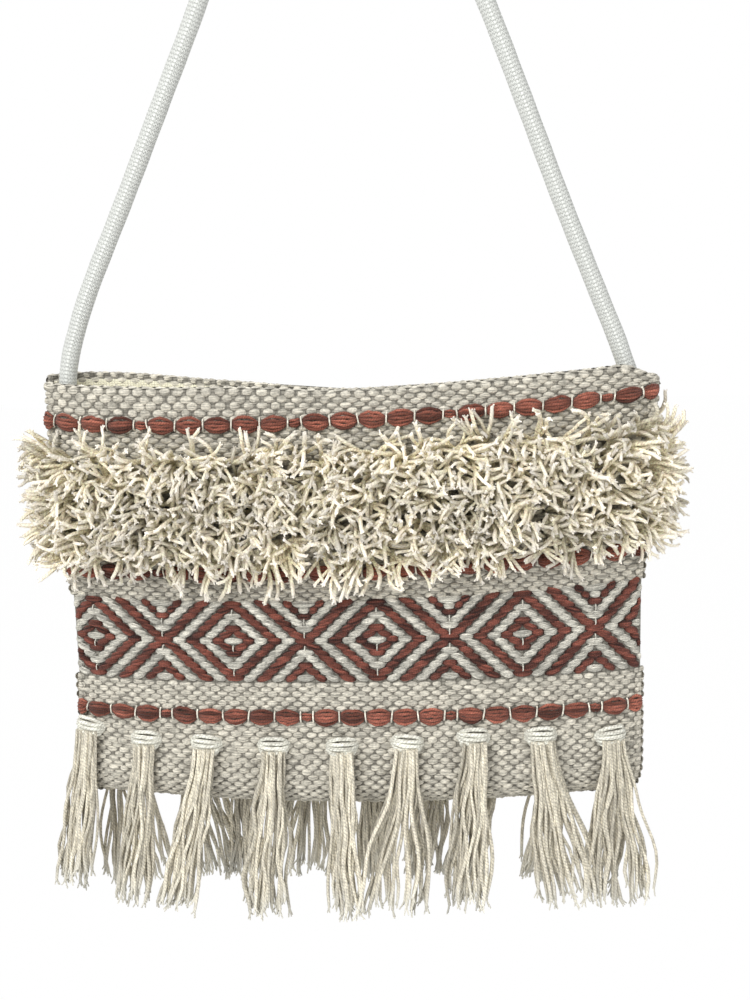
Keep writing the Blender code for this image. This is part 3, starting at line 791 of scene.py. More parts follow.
def make_rope(settings):
    """The knitted rope: a tube whose stitches stand out in rows of small ribs."""
    route = [(x, 0.0, z) for x, z in ROPE_ROUTE]
    path, length = even_points(route, ROPE_POINTS)
    middles, _ = even_points(route, ROPE_RINGS)
    across = np.array([0.0, 1.0, 0.0])
    rises = np.cross(unit(np.gradient(middles, axis=0)), across)
    share = np.arange(ROPE_SIDES) / ROPE_SIDES
    angle = 2 * np.pi * share
    rib = np.sin(2 * np.pi * np.clip(np.abs(share * ROPE_COLUMNS % 1 - 0.5), 0, 0.5)) ** 0.5
    run = np.linspace(0, length, ROPE_RINGS)
    points = []
    for at, rise, far in zip(middles, rises, run):
        girth = settings.rope_radius * (0.985 + 0.035 * rib)
        girth = girth * (1 + 0.012 * math.sin(far * 260))
        points.append(at + np.outer(np.cos(angle) * girth, across) + np.outer(np.sin(angle) * girth, rise))
    faces = bands(ROPE_RINGS, ROPE_SIDES)
    faces.append(tuple(range(ROPE_SIDES))[::-1])
    faces.append(tuple(range((ROPE_RINGS - 1) * ROPE_SIDES, ROPE_RINGS * ROPE_SIDES)))
    look = rope_material("knitted white cotton", settings.rope_colour)
    made = mesh_object("knitted_rope", np.concatenate(points), faces, look)
    store(made.data, "turn", "FLOAT", np.tile(np.where(share > 0.5, 1 - share, share) * 2, ROPE_RINGS))
    store(made.data, "run", "FLOAT", np.repeat(run, ROPE_SIDES))
    tidy_normals(made)
    dress(made, "rope_cotton", "shoulder_rope")


# A float's half length, half height and stand, each with its spread
FLOAT_SIZE = ((0.0031, 0.07), (0.00170, 0.08), (0.00125, 0.16))
FLOATS_ROUND = 92
RIM_FLOAT = (0.0032, 0.0017, 0.0011)
SEAM_FLOAT = (0.0027, 0.0018, 0.0014)
# How near the side folds things come, as shares of the half width: the faces' floats, which are short in
# the last of it, the seams' own floats, places round a section, and the directions on the cloth
SIDE_REACH = 0.986
SIDE_BAND = 0.012
SEAM_REACH = 0.9975
RING_REACH = 0.9985
TURN_REACH = 0.972
# Cloth that the floats leave to the diamond band, to a stripe and to the rim's own rows
BAND_HALF_HEIGHT = 0.0222
STRIPE_CLEAR = 0.0021
RIM_CLEAR = 0.0012
# The rows that turn over the rim: inset from the cloth's face, drop below the rim, and how far they face up
OVER_RIM = ((0.0002, 0.0013, 0.35), (0.0016, 0.0001, 1.0), (0.0030, 0.0012, 0.3))
HEM_DROPS = (0.0035, 0.0059, 0.0083, 0.0107)


def row_stretch(u, h, side):
    """How much further apart the rows hang at a place than they are woven."""
    step = 0.001
    return (sag_shift(u, h + step, side) - sag_shift(u, h - step, side)) / (2 * step) + 1


def fold_levels(pitch):
    """Heights above the fold a weft row apart, measured round the fold's own curve."""
    h = np.concatenate([np.geomspace(1e-5, 0.02, 400), np.linspace(0.0201, BAG_HEIGHT, 1600)])
    run = travelled(np.stack([half_depth(h), h], -1))
    rows = np.arange(0.5, run[-1] / pitch) * pitch
    return np.interp(rows, run, h)


def ring_shares(h, shares):
    """Places round the level section at equal shares of its length, as (share of half width, side)."""
    u = np.sin(np.linspace(-np.pi / 2, np.pi / 2, 700))
    run = travelled(surface(u, h, FRONT)[:, :2])
    run = run / run[-1]
    on_front = shares < 0.5
    side = np.where(on_front, FRONT, BACK)
    share = np.where(on_front, shares * 2, 2 - shares * 2)
    return np.clip(np.interp(share, run, u), -RING_REACH, RING_REACH), side


def faces_of_cloth(u, h, side):
    """Places, runs and normals of points that lie on either face, by their side."""
    back = (side == BACK)[:, None]
    # Close to the side folds the directions stay as they are a little further in.
    inner = np.clip(u, -TURN_REACH, TURN_REACH)
    _, front_run, _, front_out = on_cloth(inner, h, FRONT)
    _, back_run, _, back_out = on_cloth(inner, h, BACK)
    at = np.where(back, surface(u, h, BACK), surface(u, h, FRONT))
    return at, np.where(back, back_run, front_run), np.where(back, back_out, front_out)


def make_cloth(settings):
    """The folded cloth, with its weft floats in brick rows on both faces."""
    rng = np.random.default_rng(11)
    # Painted shade: the ground is coloured at half the cloth's colour, with deep unders, so the gaps between
    # the floats are dark.
    ground_look = plain_weave_material("cloth ground", shade_of(settings.cloth_colour, 0.5), low=0.4)
    ground = pouch("cloth_ground", 0.0006, CLOTH_WALL, BAG_HEIGHT - 0.0004, ground_look)
    shape = float_shape()
    count = FLOATS_ROUND
    kept = {name: [] for name in ("at", "along", "out", "size", "tint", "side")}

    def keep(*values):
        for name, value in zip(kept, values):
            kept[name].append(value)

    for row, h in enumerate(fold_levels(settings.weave_row)):
        if h > BAG_HEIGHT - RIM_CLEAR or abs(h - INLAY_HEIGHT) < BAND_HALF_HEIGHT:
            continue
        if any(abs(h - at_height) < STRIPE_CLEAR for _, at_height in STRIPES):
            continue
        shares = (np.arange(count) + 0.5 * (row % 2) + rng.uniform(-0.06, 0.06, count)) / count
        u, side = ring_shares(h, shares % 1)
        # Floats near a side fold stop short of it, and the fold has floats of its own.
        u = np.clip(u, -SIDE_REACH, SIDE_REACH)
        at, along, out = faces_of_cloth(u, h + rng.normal(0, 0.00014, count), side)
        size = [base * rng.normal(1, spread, count) for base, spread in FLOAT_SIZE]
        size[0] = size[0] * np.where(np.abs(u) > SIDE_REACH - SIDE_BAND, 0.6, 1.0)
        size[1] = size[1] * np.clip(row_stretch(u, h, side), 0.7, 1.5)
        # Painted light: the lower cloth is made the palest, and the rim a little paler than the cloth under
        # it.
        pale = mix(0.16, 0.0, smooth((h - 0.03) / 0.05)) + mix(0.0, 0.06, smooth((h - 0.19) / 0.02))
        tint = np.clip(rng.uniform(0, 1, count) ** 1.1 * 0.84 + pale, 0, 1)
        keep(at - out * 0.0002, along, out, np.stack(size, -1), tint, side)
        # Two short floats fold round each side edge.
        for end in (-1, 1):
            for face in (FRONT, BACK):
                facing = unit(np.array([[0.8 * end, 0.6 * face, 0.0]]))
                run = np.cross([[0.0, 0.0, 1.0]], facing)
                shift = run * 0.0008 * (1 if row % 2 else -1)
                at = surface(SEAM_REACH * end, h, face)[None] + shift
                keep(at, run, facing, np.array([SEAM_FLOAT]), rng.uniform(0.2, 0.9, 1), np.array([face]))
    # Rows turn over the rim, from its outside over the top and down the inside as far as the lining's hem.
    hems = tuple((CLOTH_WALL + LINING_GAP + LINING_WALL, drop, 0.0) for drop in HEM_DROPS)
    for n, (inset, drop, rise) in enumerate(OVER_RIM + hems):
        shares = (np.arange(count) + 0.5 * (n % 2)) / count
        u, side = ring_shares(BAG_HEIGHT - 0.0005, shares)
        _, along, out = faces_of_cloth(u, np.full(count, BAG_HEIGHT - 0.002), side)
        h = BAG_HEIGHT - drop
        at = np.where((side == BACK)[:, None], surface(u, h, BACK, inset), surface(u, h, FRONT, inset))
        inside = -1 if n > 1 else 1
        facing = unit(out * inside * (1 - rise) + np.array([0, 0, 1.0]) * rise)
        tint = rng.uniform(0.3 if n < 2 else 0.8, 1, count)
        keep(at - facing * 0.0004, along * inside, facing, np.tile(RIM_FLOAT, (count, 1)), tint, side)
    kept = {name: np.concatenate(value) for name, value in kept.items()}
    look = float_material("greige weft floats", settings.cloth_colour)
    for name, side in SIDES:
        chosen = kept["side"] == side
        parts = [kept[part][chosen] for part in ("at", "along", "out", "size", "tint")]
        dress(floats(f"{name}_weft_floats", *parts, shape, look), "cream_cloth")
    bpy.data.objects.remove(shape, do_unlink=True)
    dress(ground, "cream_cloth", "woven_cloth")


def make_lining(settings):
    """The plain cotton pouch inside the cloth."""
    inset = CLOTH_WALL + LINING_GAP
    look = plain_weave_material("pale cotton lining", settings.lining_colour, low=0.88, cell=0.0013)
    made = pouch("cotton_lining", inset, inset + LINING_WALL, BAG_HEIGHT - LINING_DROP, look)
    dress(made, "lining_cotton", "lining")


# A bead's strands, half height, stand and strand radius
SMALL_BEAD = (3, 0.0014, 0.0014, 0.00070)
LARGE_BEAD = (5, 0.0033, 0.0030, 0.00086)
TIE_RADIUS = 0.00042


def strand_levels(strands):
    """Places of a bundle's strands from its lower edge, at -1, to its upper one, at 1."""
    return [mix(-1, 1, k / (strands - 1)) for k in range(strands)]


def bead(a, b, height, side, rng):
    """One plump bead of a stripe: strands that meet at both of its ends."""
    strands, half_height, stand, radius = SMALL_BEAD if abs(b - a - SHORT_BEAD) < 0.0004 else LARGE_BEAD
    share = np.linspace(-1, 1, 9)
    middle, half = (a + b) / 2, (b - a) / 2
    plump = half_height * rng.uniform(0.92, 1.1)
    tilt = rng.normal(0, 0.0003)
    tone = rng.uniform(0.2, 0.8)
    belly = (1 - share**2) ** 0.8
    made = []
    for v in strand_levels(strands):
        wave = rng.normal(0, 0.00016, len(share)) * (1 - share**2)
        up = v * mix(0.0005, plump, belly) + tilt * share + wave
        lift = 0.0002 + stand * belly * math.sqrt(1 - 0.55 * v * v)
        lift = lift + rng.normal(0, 0.00014, len(share)) * (1 - share**2)
        path = skin(along_share(middle + share * (half - 0.0001)), height + up, side, lift)
        thick = radius * mix(0.55, 1.0, belly) * rng.uniform(0.92, 1.08)
        # Painted shade: each strand darkens towards the bead's pinched ends, where it dives under the ties.
        tint = (tone + rng.normal(0, 0.25)) * mix(0.1, 1, belly)
        made.append((path, thick, np.clip(tint, 0, 1), 0.0))
    return made


def make_stripes(settings):
    """Each stripe is a chain of plump beads of wool yarn, tied down by thin cotton between them."""
    wool_look = {"pitch": 0.0024, "ply": 0.8, "bump": 0.9, "patch": 0.45, "stretch": ACROSS}
    wool = yarn_material("terracotta wool", settings.wool_colour, **wool_look)
    cotton = yarn_material("tie cotton", settings.tie_colour, pitch=0.002, ply=0.2)
    edges = stripe_edges()
    for side_name, side in SIDES:
        for n, (label, height) in enumerate(STRIPES):
            rng = np.random.default_rng(100 + 10 * n + side)
            beads, ties = [], []
            for a, b in zip(edges, edges[1:]):
                beads += bead(a, b, height, side, rng)
            for s in edges[1:-1]:
                share = np.linspace(-1, 1, 6)
                lean = rng.normal(0, 0.0003)
                up = share * rng.uniform(0.0023, 0.0029)
                lift = 0.0004 + 0.0012 * (1 - share**4)
                path = skin(along_share(s + lean * share), height + up, side, lift)
                ties.append((path, TIE_RADIUS, rng.uniform(0.4, 1), 0.0))
            made = yarns(f"{side_name}_{label}_stripe_beads", beads, wool, sides=5)
            dress(made, "terracotta_yarn", f"{side_name}_{label}_stripe")
            dress(yarns(f"{side_name}_{label}_stripe_ties", ties, cotton, sides=5), "natural_yarn")


# The diamond band's pattern counts in weft rows, and in equal steps along the cloth from a diamond's middle.
BAND_ROWS = 6
BAND_ROW = 0.00335
BAND_REACH = 11.0
BAND_STEP = REPEAT / (2 * BAND_REACH)
BAND_CENTRES = (-0.1375, -0.0625, 0.0125, 0.0875, 0.1625)
CREAM_RINGS = (0.0, 4.25, 8.45, 12.9)
CREAM_HALF = 0.97
SHORTEST_RED = 0.3
BAND_STRANDS = 4
BAND_RADIUS = 0.00055
# Rows of the short ties over a diamond's middle, and over the cross beside it
DIAMOND_TIES = (-1.2, 4.6, -5.2)
CROSS_TIES = (1.0, -1.4, 3.1)
BAND_TIE_HALF_HEIGHT = 0.0018
BAND_TIE_RADIUS = 0.0003


def cream_spans(row):
    """Where a row is cream between a diamond's middle, at 0, and the cross beside it, at 11 steps."""
    k = abs(row)
    spans = []
    for ring in CREAM_RINGS:
        at = ring - k
        if ring == 0.0:
            if k == 0:
                spans.append((0.0, 1.4))
        elif abs(at) < 0.6:
            spans.append((0.0, 1.2))
        elif 0.6 <= at < 10.6:
            spans.append((at - CREAM_HALF, min(at + CREAM_HALF, 10.95)))
        elif abs(at - 11) <= 0.4:
            spans.append((9.75, BAND_REACH))
    starts = {-6: 9.75, 5: 10.2, 6: 9.3}
    if row in starts:
        spans.append((starts[row], BAND_REACH))
    return spans


def band_floats():
    """The band's floats as (row, left end, right end, slope, red or not), in metres along the cloth."""
    made = []
    for row in range(-BAND_ROWS, BAND_ROWS + 1):
        creams = cream_spans(row)
        reds, last = [], 0.0
        for a, b in [*creams, (BAND_REACH, BAND_REACH)]:
            if a - last > SHORTEST_RED:
                reds.append((last, a))
            last = b
        pieces = [(a, b, False) for a, b in creams] + [(a, b, True) for a, b in reds]
        slope = (row < 0) - (row > 0)
        for middle in BAND_CENTRES:
            for a, b, red in pieces:
                wide = red and b - a > 1.6
                ends = [(middle + a * BAND_STEP, middle + b * BAND_STEP, slope)]
                ends.append((middle - b * BAND_STEP, middle - a * BAND_STEP, -slope))
                if a < 0.01 and not wide:
                    ends = [(middle - b * BAND_STEP, middle + b * BAND_STEP, 0)]
                if b > BAND_REACH - 0.01 and not wide:
                    far = (2 * BAND_REACH - a) * BAND_STEP
                    ends = [(middle + a * BAND_STEP, middle + far, 0)]
                    if middle == BAND_CENTRES[0]:
                        ends.append((middle - far, middle - a * BAND_STEP, 0))
                made += [(row, left, right, lean, red) for left, right, lean in ends]
    return made


def band_float(left, right, height, slope, red, side, rng):
    """One float of the band: strands that meet at its ends and rise or fall along it."""
    middle, half = (left + right) / 2, (right - left) / 2
    share = np.linspace(-1, 1, 6)
    belly = (1 - share**2) ** 0.6
    tone = rng.uniform(0.25, 0.85)
    rise = slope * min(0.36 * half, 0.0014)
    stand, reach = (0.0017, 1.03) if red else (0.0021, 1.08)
    made = []
    for v in strand_levels(BAND_STRANDS):
        up = rise * share + v * mix(0.0003, 0.00132, belly) + rng.normal(0, 0.00007, 6)
        lift = -0.0006 + stand * belly * math.sqrt(1 - 0.5 * v * v)
        path = skin(along_share(middle + share * half * reach), height + up, side, lift)
        thick = BAND_RADIUS * mix(0.6, 1.05, belly) * rng.uniform(0.92, 1.08)
        # Painted shade: each strand darkens towards the float's ends, where it dives into the cloth.
        tint = (tone + rng.normal(0, 0.25)) * mix(0.0, 1.0, belly)
        made.append((path, thick, np.clip(tint, 0, 1), 0.0))
    return made


def make_band(settings):
    """The diamond band: slanted floats of red wool and cream cotton, four strands to each."""
    wool_look = {"pitch": 0.0022, "ply": 0.8, "bump": 0.9, "patch": 0.5, "stretch": ACROSS}
    wool = yarn_material("terracotta wool of the band", settings.band_colour, **wool_look)
    cotton_look = {"pitch": 0.0030, "bump": 0.6, "patch": 0.22, "stretch": ACROSS}
    cotton = yarn_material("cream cotton of the band", settings.band_cream, **cotton_look)
    end = CLOTH_HALF * 0.992
    for side_name, side in SIDES:
        rng = np.random.default_rng(300 + side)
        paths = {True: [], False: []}
        for row, left, right, slope, red in band_floats():
            left, right = max(left, -end), min(right, end)
            if right - left >= 0.0012:
                height = INLAY_HEIGHT + row * BAND_ROW
                paths[red] += band_float(left, right, height, slope, red, side, rng)
        for centre in BAND_CENTRES:
            for s, rows in ((centre, DIAMOND_TIES), (centre + REPEAT / 2, CROSS_TIES)):
                if abs(s) > CLOTH_HALF * 0.97:
                    continue
                for row in rows:
                    share = np.linspace(-1, 1, 5)
                    height = INLAY_HEIGHT + row * BAND_ROW + share * BAND_TIE_HALF_HEIGHT
                    lift = 0.0006 + 0.0010 * (1 - share**4)
                    tie = skin(along_share(np.full(5, s)), height, side, lift)
                    paths[False].append((tie, BAND_TIE_RADIUS, 0.9, 0.0))
        made = yarns(f"{side_name}_diamond_red_floats", paths[True], wool, sides=4)
        dress(made, "terracotta_yarn", f"{side_name}_diamond_inlay")
        dress(yarns(f"{side_name}_diamond_cream_floats", paths[False], cotton, sides=4), "natural_yarn")


def frayed(path, thick, tint, end, rng, plies, spread, length):
    """The loose plies and fibres at a cut end of a yarn."""
    tip = path[-1]
    ahead = unit(path[-1] - path[-2])
    share = np.linspace(0, 1, 3)[:, None]
    made = []
    for _ in range(plies):
        sideways = rng.normal(0, 1, 3)
        sideways = unit(sideways - ahead * (sideways @ ahead))
        far = length * rng.uniform(0.6, 1.2)
        line = tip - ahead * 0.0012 + ahead * far * share
        line = line + sideways * spread * rng.uniform(0.5, 1.6) * share**1.4
        line = line + rng.normal(0, 0.00025, 3) * share
        made.append((line, thick * mix(0.85, 0.6, share[:, 0]), tint, end))
    return made


# Knots stand this far apart, in two staggered lines above and below the middle of each pile row.
KNOT_STEP = 0.0125
KNOT_LINES = (0.0033, -0.0034)
KNOT_SCATTER = 0.0022
LEFT_MARGIN, RIGHT_MARGIN = 0.016, 0.014
BACK_STRANDS = 0.85
# How far each pile row's strands lean up, and each line's
ROW_LEANS = (0.16, 0.10, 0.02, -0.06)
LINE_LEANS = (0.10, -0.08)
CLUMPS = 3
STRAND_LENGTHS = (0.0185, 0.0250)
STRAND_RADIUS = 0.00096
STRAND_TAPER = np.array([0.8, 1, 1, 1, 1, 1, 0.95])


def make_pile(settings):
    """Knots of cut yarn in rows, each a burst of strands that curl over and end in pale frayed tips."""
    cut_look = {"tip": settings.pile_tip, "pitch": 0.0034, "ply": 0.5, "bump": 0.8, "patch": 0.2}
    look = yarn_material("cut cotton yarn", settings.pile_colour, **cut_look)
    for side_name, side in SIDES:
        strands = settings.pile_strands if side == FRONT else int(settings.pile_strands * BACK_STRANDS)
        for row in range(PILE_ROWS):
            rng = np.random.default_rng(500 + 7 * row + side)
            bodies, tips = [], []
            for line, above in enumerate(KNOT_LINES):
                height = PILE_TOP_HEIGHT - PILE_PITCH * row + above
                first = -PILE_HALF_LENGTH + LEFT_MARGIN + line * KNOT_STEP / 2
                starts = np.arange(first, PILE_HALF_LENGTH - RIGHT_MARGIN, KNOT_STEP)
                for s in starts + rng.uniform(-KNOT_SCATTER, KNOT_SCATTER, len(starts)):
                    lean = ROW_LEANS[row], LINE_LEANS[line]
                    tuft(s, height + rng.normal(0, 0.0012), lean, side, strands, rng, bodies, tips)
            made = yarns(f"{side_name}_pile_row_{row + 1}_tufts", bodies, look, sides=4)
            dress(made, "natural_yarn", f"{side_name}_pile_row_{row + 1}")
            dress(yarns(f"{side_name}_pile_row_{row + 1}_tips", tips, look, sides=3), "natural_yarn")


def tuft(s, height, leans, side, strands, rng, bodies, tips):
    """One knot's strands, fanning out of the cloth in a few clumps that curl over."""
    root, along, up, out = on_cloth(np.clip(s / half_width(height), -0.97, 0.97), height, side)
    # Upper rows stand up, lower ones hang, and every burst leans its own way.
    lean = leans[0] + leans[1] + rng.normal(0, 0.15)
    edge = np.clip((abs(s) - 0.118) / 0.03, 0, 1) * np.sign(s)
    tone = rng.uniform(0.15, 0.95)
    turn = rng.uniform(0, 2 * math.pi)
    clumps = []
    for k in range(CLUMPS):
        around = turn + k * 2.1 + rng.normal(0, 0.35)
        steep = rng.uniform(0.35, 1.25)
        sideways = math.cos(around) * steep + 0.9 * edge
        clumps.append((sideways, math.sin(around) * steep * 0.9 + lean, rng.normal(0, 1, 3)))
    bend = np.linspace(0, 1, len(STRAND_TAPER))
    for n in range(strands):
        sideways, upward, swirl = clumps[n % CLUMPS]
        sideways += rng.normal(0, 0.17)
        upward += rng.normal(0, 0.17)
        heading = unit(out + along * sideways + up * upward)
        stride = rng.uniform(*STRAND_LENGTHS) / (len(bend) - 1)
        curl = unit(swirl + rng.normal(0, 0.8, 3)) * rng.uniform(0.15, 0.75)
        line = [root + (along * rng.normal(0, 1) + up * rng.normal(0, 1)) * 0.0007]
        for share in bend[1:]:
            line.append(line[-1] + heading * stride)
            pull = curl - np.array([0, 0, 0.09]) - out * 0.08
            heading = unit(heading + pull * share + rng.normal(0, 0.14, 3))
            # A strand never dives into the cloth.
            if (line[-1] - root) @ out < 0.0016:
                heading = unit(heading + out * max(0.25 - heading @ out, 0))
        line = np.array(line)
        tint = np.clip(tone + rng.normal(0, 0.22), 0, 1)
        end = np.clip((bend - 0.35) / 0.6, 0, 1) ** 1.6 * rng.uniform(0.35, 1.0)
        bodies.append((line, STRAND_RADIUS * rng.uniform(0.85, 1.15) * STRAND_TAPER, tint, end))
        plies = 3 if side == FRONT else 2
        tips += frayed(line, 0.00070, tint, 1.0, rng, plies, spread=0.0009, length=0.0021)


# A tassel's wrapped head, and the half widths of its tail under the head and at its end
WRAPS = 5
WRAP_RADIUS = 0.00108
NECK_HALF_WIDTH = 0.0052
TAIL_HALF_WIDTH = 0.0098
TAIL_RADIUS = 0.00092
TAIL_POINTS = 13


def tassel_frame(u, rise, side):
    """Where a tassel hangs, with the level directions out of the cloth and across it."""
    root, _, _, out = on_cloth(np.float64(u), TASSEL_HEIGHT + rise, side)
    out = unit(np.array([out[0], out[1], 0.0]))
    return root + out * 0.0003, out, np.cross([0, 0, 1.0], out)


def back_tassels():
    """Seen from behind, the back's tails swing as the front's do from the front."""
    swings = [-swing for _, _, swing in reversed(FRONT_TASSELS)]
    return [(BACK_TASSEL_START + BACK_TASSEL_STEP * n, 0.0, swing) for n, swing in enumerate(swings)]


def hung(root, out, across, lift, reach, up):
    """Points from a tassel's root, by how far they stand out, lie across and rise."""
    return root + np.outer(reach, across) + np.outer(lift, out) + np.outer(up, [0, 0, 1.0])


def make_tassels(settings):
    """Bundles of twisted yarn hanging from a wrapped bar of thicker cream yarn."""
    tail_look = yarn_material(
        "tassel yarn",
        settings.tassel_colour,
        tip=settings.tassel_tip,
        pitch=0.0038,
        ply=0.6,
        bump=0.9,
        patch=0.24,
        stretch=DOWN,
    )
    wrapped = {"pitch": 0.0034, "ply": 0.5, "bump": 0.8, "patch": 0.14, "stretch": ACROSS}
    head_look = yarn_material("tassel wrapping", settings.head_colour, **wrapped)
    for side_name, side in SIDES:
        front = side == FRONT
        spreads = TASSEL_SPREADS if front else TASSEL_SPREADS[::-1]
        for n, (u, rise, swing) in enumerate(FRONT_TASSELS if front else back_tassels()):
            rng = np.random.default_rng(700 + 13 * n + side)
            hangs = tassel_frame(u, rise, side)
            tail = tassel_tail(hangs, swing * TASSEL_TAIL, spreads[n], settings.tassel_strands, rng)
            made = yarns(f"{side_name}_tassel_{n + 1}_tail", tail, tail_look, sides=5)
            dress(made, "natural_yarn", f"{side_name}_tassel_{n + 1}")
            head = tassel_head(hangs, rng)
            dress(yarns(f"{side_name}_tassel_{n + 1}_head", head, head_look, sides=6), "natural_yarn")


def tassel_head(hangs, rng):
    """The wraps of thicker yarn round a tassel's top, one above the other."""
    root, out, across = hangs
    share = np.linspace(-1, 1, 11)
    belly = (1 - np.abs(share) ** 2.6) ** 0.6
    lean = rng.normal(0, 0.0004)
    head = []
    for v in strand_levels(WRAPS):
        tilt = rng.normal(0, 0.00022)
        up = v * mix(0.0017, 0.0047, belly) + (tilt + lean) * share + rng.normal(0, 0.00006, 11)
        lift = mix(-0.0008, 0.0050 - 0.0018 * v * v, belly)
        reach = share * HEAD_HALF_WIDTH * (1.02 - 0.12 * v * v)
        # Painted shade: each wrap darkens towards its ends, where it turns in round the head's sides.
        tint = np.clip(rng.uniform(0.35, 1) * mix(0.3, 1, belly), 0, 1)
        thick = WRAP_RADIUS * rng.uniform(0.95, 1.05)
        head.append((hung(root, out, across, lift, reach, up), thick, tint, 0.0))
    return head


def tassel_tail(hangs, swing, spread, strands, rng):
    """A tail's strands, which start side by side, part on the way down and fray at their ends."""
    root, out, across = hangs
    share = np.linspace(0, 1, TAIL_POINTS)
    paths = []
    split = rng.uniform(0.0, 0.7)
    for k in range(strands):
        a = mix(-1, 1, (k + 0.5) / strands) + rng.normal(0, 0.06)
        b = rng.uniform(-1, 1)
        length = TASSEL_TAIL * rng.uniform(0.86, 0.98)
        wide = mix(NECK_HALF_WIDTH, TAIL_HALF_WIDTH * spread, smooth(share * 1.1))
        cross = a * (1 - 0.25 * np.sin(share * math.pi) * rng.uniform(-1, 1))
        cross = cross + 0.10 * np.sign(a) * split * share**2
        sideways = cross * wide + swing * share**1.15
        phase, beat = rng.uniform(0, 6.28), rng.uniform(1.0, 2.4)
        sway = 0.0011 * rng.uniform(0.4, 1.9)
        sideways = sideways + sway * np.sin(share * beat * 6.28 + phase) * np.minimum(share * 3, 1)
        deep = 0.0042 + b * mix(0.0017, 0.0030, smooth(share * 1.5))
        deep = deep + 0.0005 * np.sin(share * beat * 5 + phase)
        fall = -HEAD_HALF_HEIGHT + 0.003 - (length + 0.003) * share
        line = hung(root, out, across, deep, sideways, fall)
        # Painted shade: strands that hang nearer the cloth, behind the others, are darker.
        tint = np.clip(0.55 + 0.25 * b + rng.normal(0, 0.22), 0, 1)
        end = np.clip((share - 0.86) / 0.14, 0, 1) * 0.7
        thick = TAIL_RADIUS * rng.uniform(0.85, 1.15) * np.where(share > 0.95, 0.85, 1.0)
        paths.append((line, thick, tint, end))
        paths += frayed(line, 0.00055, tint, 0.8, rng, plies=3, spread=0.0013, length=0.0050)
    return paths


# The add-on's settings, operators and panel


def colour_setting(name, description, default):
    return bpy.props.FloatVectorProperty(
        name=name, description=description, default=default, size=4, min=0.0, max=1.0, subtype="COLOR"
    )


class BagSettings(bpy.types.PropertyGroup):
    rope_radius: bpy.props.FloatProperty(
        name="Rope radius", description="Half the knitted rope's thickness", default=0.0043, unit="LENGTH"
    )
    rope_colour: colour_setting("Rope", "Colour of the knitted rope", (0.72, 0.735, 0.70, 1))
    cloth_colour: colour_setting("Cloth", "Colour of the weft floats", (0.56, 0.528, 0.45, 1))
    lining_colour: colour_setting("Lining", "Colour of the cotton lining", (0.93, 0.89, 0.70, 1))
    weave_row: bpy.props.FloatProperty(
        name="Weft row", description="Distance from one weft row to the next", default=0.00245, unit="LENGTH"
    )


class YarnSettings(bpy.types.PropertyGroup):
    wool_colour: colour_setting("Stripe wool", "Colour of the stripes' wool", (0.315, 0.105, 0.070, 1))
    band_colour: colour_setting("Band wool", "Colour of the diamond band's wool", (0.20, 0.062, 0.042, 1))
    band_cream: colour_setting("Band cotton", "Colour of the diamond band's cotton", (0.61, 0.59, 0.52, 1))
    tie_colour: colour_setting("Ties", "Colour of the thin ties between the beads", (0.76, 0.72, 0.62, 1))
    pile_colour: colour_setting("Pile", "Colour of the pile's strands", (0.93, 0.75, 0.535, 1))
    pile_tip: colour_setting("Pile tips", "Colour of the pile's cut ends", (1.0, 0.945, 0.85, 1))
    tassel_colour: colour_setting("Tassels", "Colour of the tassels' strands", (0.70, 0.65, 0.53, 1))
    tassel_tip: colour_setting("Tassel tips", "Colour of the tassels' cut ends", (0.74, 0.72, 0.64, 1))
    head_colour: colour_setting("Tassel heads", "Colour of the tassels' wrapping", (0.83, 0.80, 0.69, 1))
    pile_strands: bpy.props.IntProperty(
        name="Strands in a knot", description="Strands in each knot of the pile", default=12, min=3
    )
    tassel_strands: bpy.props.IntProperty(
        name="Strands in a tassel", description="Strands in each tassel", default=25, min=6
    )


class StageSettings(bpy.types.PropertyGroup):
    daylight: bpy.props.FloatProperty(
        name="Daylight", description="Strength of the light all round", default=0.50
    )
    window_light: bpy.props.FloatProperty(
        name="Window light", description="Power of the main soft lamp", default=40.0, unit="POWER"
    )


def settings_of(context):
    return context.scene.bag_settings, context.scene.yarn_settings, context.scene.stage_settings


class BAG_OT_stage(bpy.types.Operator):
    """Sets up the camera, the daylight and a plain pale floor"""

    bl_idname = "bag.stage"
    bl_label = "Stage"

    def execute(self, context):
        make_stage(settings_of(context)[2])
        return {"FINISHED"}


class BAG_OT_rope(bpy.types.Operator):
    """Makes the knitted rope that the bag hangs by"""

    bl_idname = "bag.rope"
    bl_label = "Knitted Rope"

    def execute(self, context):
        make_rope(settings_of(context)[0])
        return {"FINISHED"}


class BAG_OT_cloth(bpy.types.Operator):
    """Makes the folded cloth with its woven floats"""

    bl_idname = "bag.cloth"
    bl_label = "Woven Cloth"

    def execute(self, context):
        make_cloth(settings_of(context)[0])
        return {"FINISHED"}


class BAG_OT_lining(bpy.types.Operator):
    """Makes the cotton lining inside the cloth"""

    bl_idname = "bag.lining"
    bl_label = "Lining"

    def execute(self, context):
        make_lining(settings_of(context)[0])
        return {"FINISHED"}


class BAG_OT_stripes(bpy.types.Operator):
    """Makes the beaded wool stripes on both faces"""

    bl_idname = "bag.stripes"
    bl_label = "Beaded Stripes"

    def execute(self, context):
        make_stripes(settings_of(context)[1])
        return {"FINISHED"}


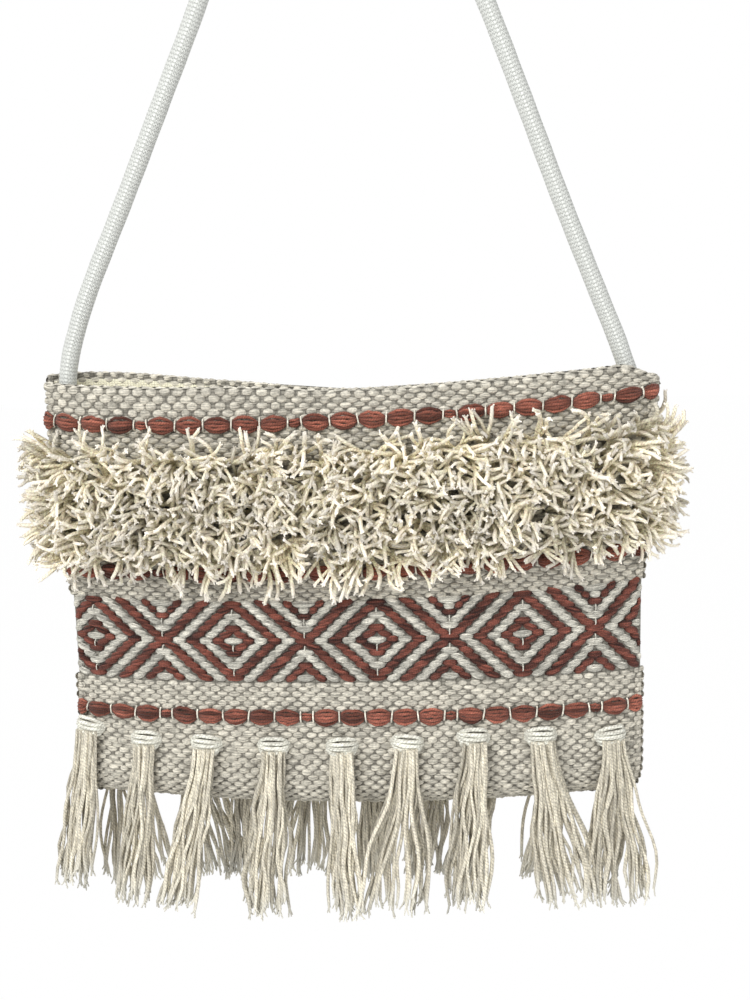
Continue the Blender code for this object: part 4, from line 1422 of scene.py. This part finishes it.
class BAG_OT_band(bpy.types.Operator):
    """Makes the diamond band on both faces"""

    bl_idname = "bag.band"
    bl_label = "Diamond Band"

    def execute(self, context):
        make_band(settings_of(context)[1])
        return {"FINISHED"}


class BAG_OT_pile(bpy.types.Operator):
    """Makes the rows of cut pile on both faces"""

    bl_idname = "bag.pile"
    bl_label = "Cut Pile"

    def execute(self, context):
        make_pile(settings_of(context)[1])
        return {"FINISHED"}


class BAG_OT_tassels(bpy.types.Operator):
    """Makes the tassels on both faces"""

    bl_idname = "bag.tassels"
    bl_label = "Tassels"

    def execute(self, context):
        make_tassels(settings_of(context)[1])
        return {"FINISHED"}


PIECES = (
    BAG_OT_stage,
    BAG_OT_rope,
    BAG_OT_cloth,
    BAG_OT_lining,
    BAG_OT_stripes,
    BAG_OT_band,
    BAG_OT_pile,
    BAG_OT_tassels,
)


class BAG_PT_pieces(bpy.types.Panel):
    """Lists the bag's settings and pieces"""

    bl_idname = "BAG_PT_pieces"
    bl_label = "Shoulder Bag"
    bl_space_type = "VIEW_3D"
    bl_region_type = "UI"
    bl_category = "Bag"

    def draw(self, context):
        for group in settings_of(context):
            box = self.layout.box()
            for name in group.__annotations__:
                box.prop(group, name)
        for piece in PIECES:
            self.layout.operator(piece.bl_idname)


CLASSES = (BagSettings, YarnSettings, StageSettings, *PIECES, BAG_PT_pieces)


def register():
    for item in CLASSES:
        bpy.utils.register_class(item)
    bpy.types.Scene.bag_settings = bpy.props.PointerProperty(type=BagSettings)
    bpy.types.Scene.yarn_settings = bpy.props.PointerProperty(type=YarnSettings)
    bpy.types.Scene.stage_settings = bpy.props.PointerProperty(type=StageSettings)


def unregister():
    del bpy.types.Scene.bag_settings
    del bpy.types.Scene.yarn_settings
    del bpy.types.Scene.stage_settings
    for item in reversed(CLASSES):
        bpy.utils.unregister_class(item)


def main():
    register()
    for make in (fibre_group, ply_group, yarn_tree, float_tree):
        make()
    for piece in PIECES:
        getattr(bpy.ops.bag, piece.bl_idname.split(".")[1])()


if __name__ == "__main__":
    main()
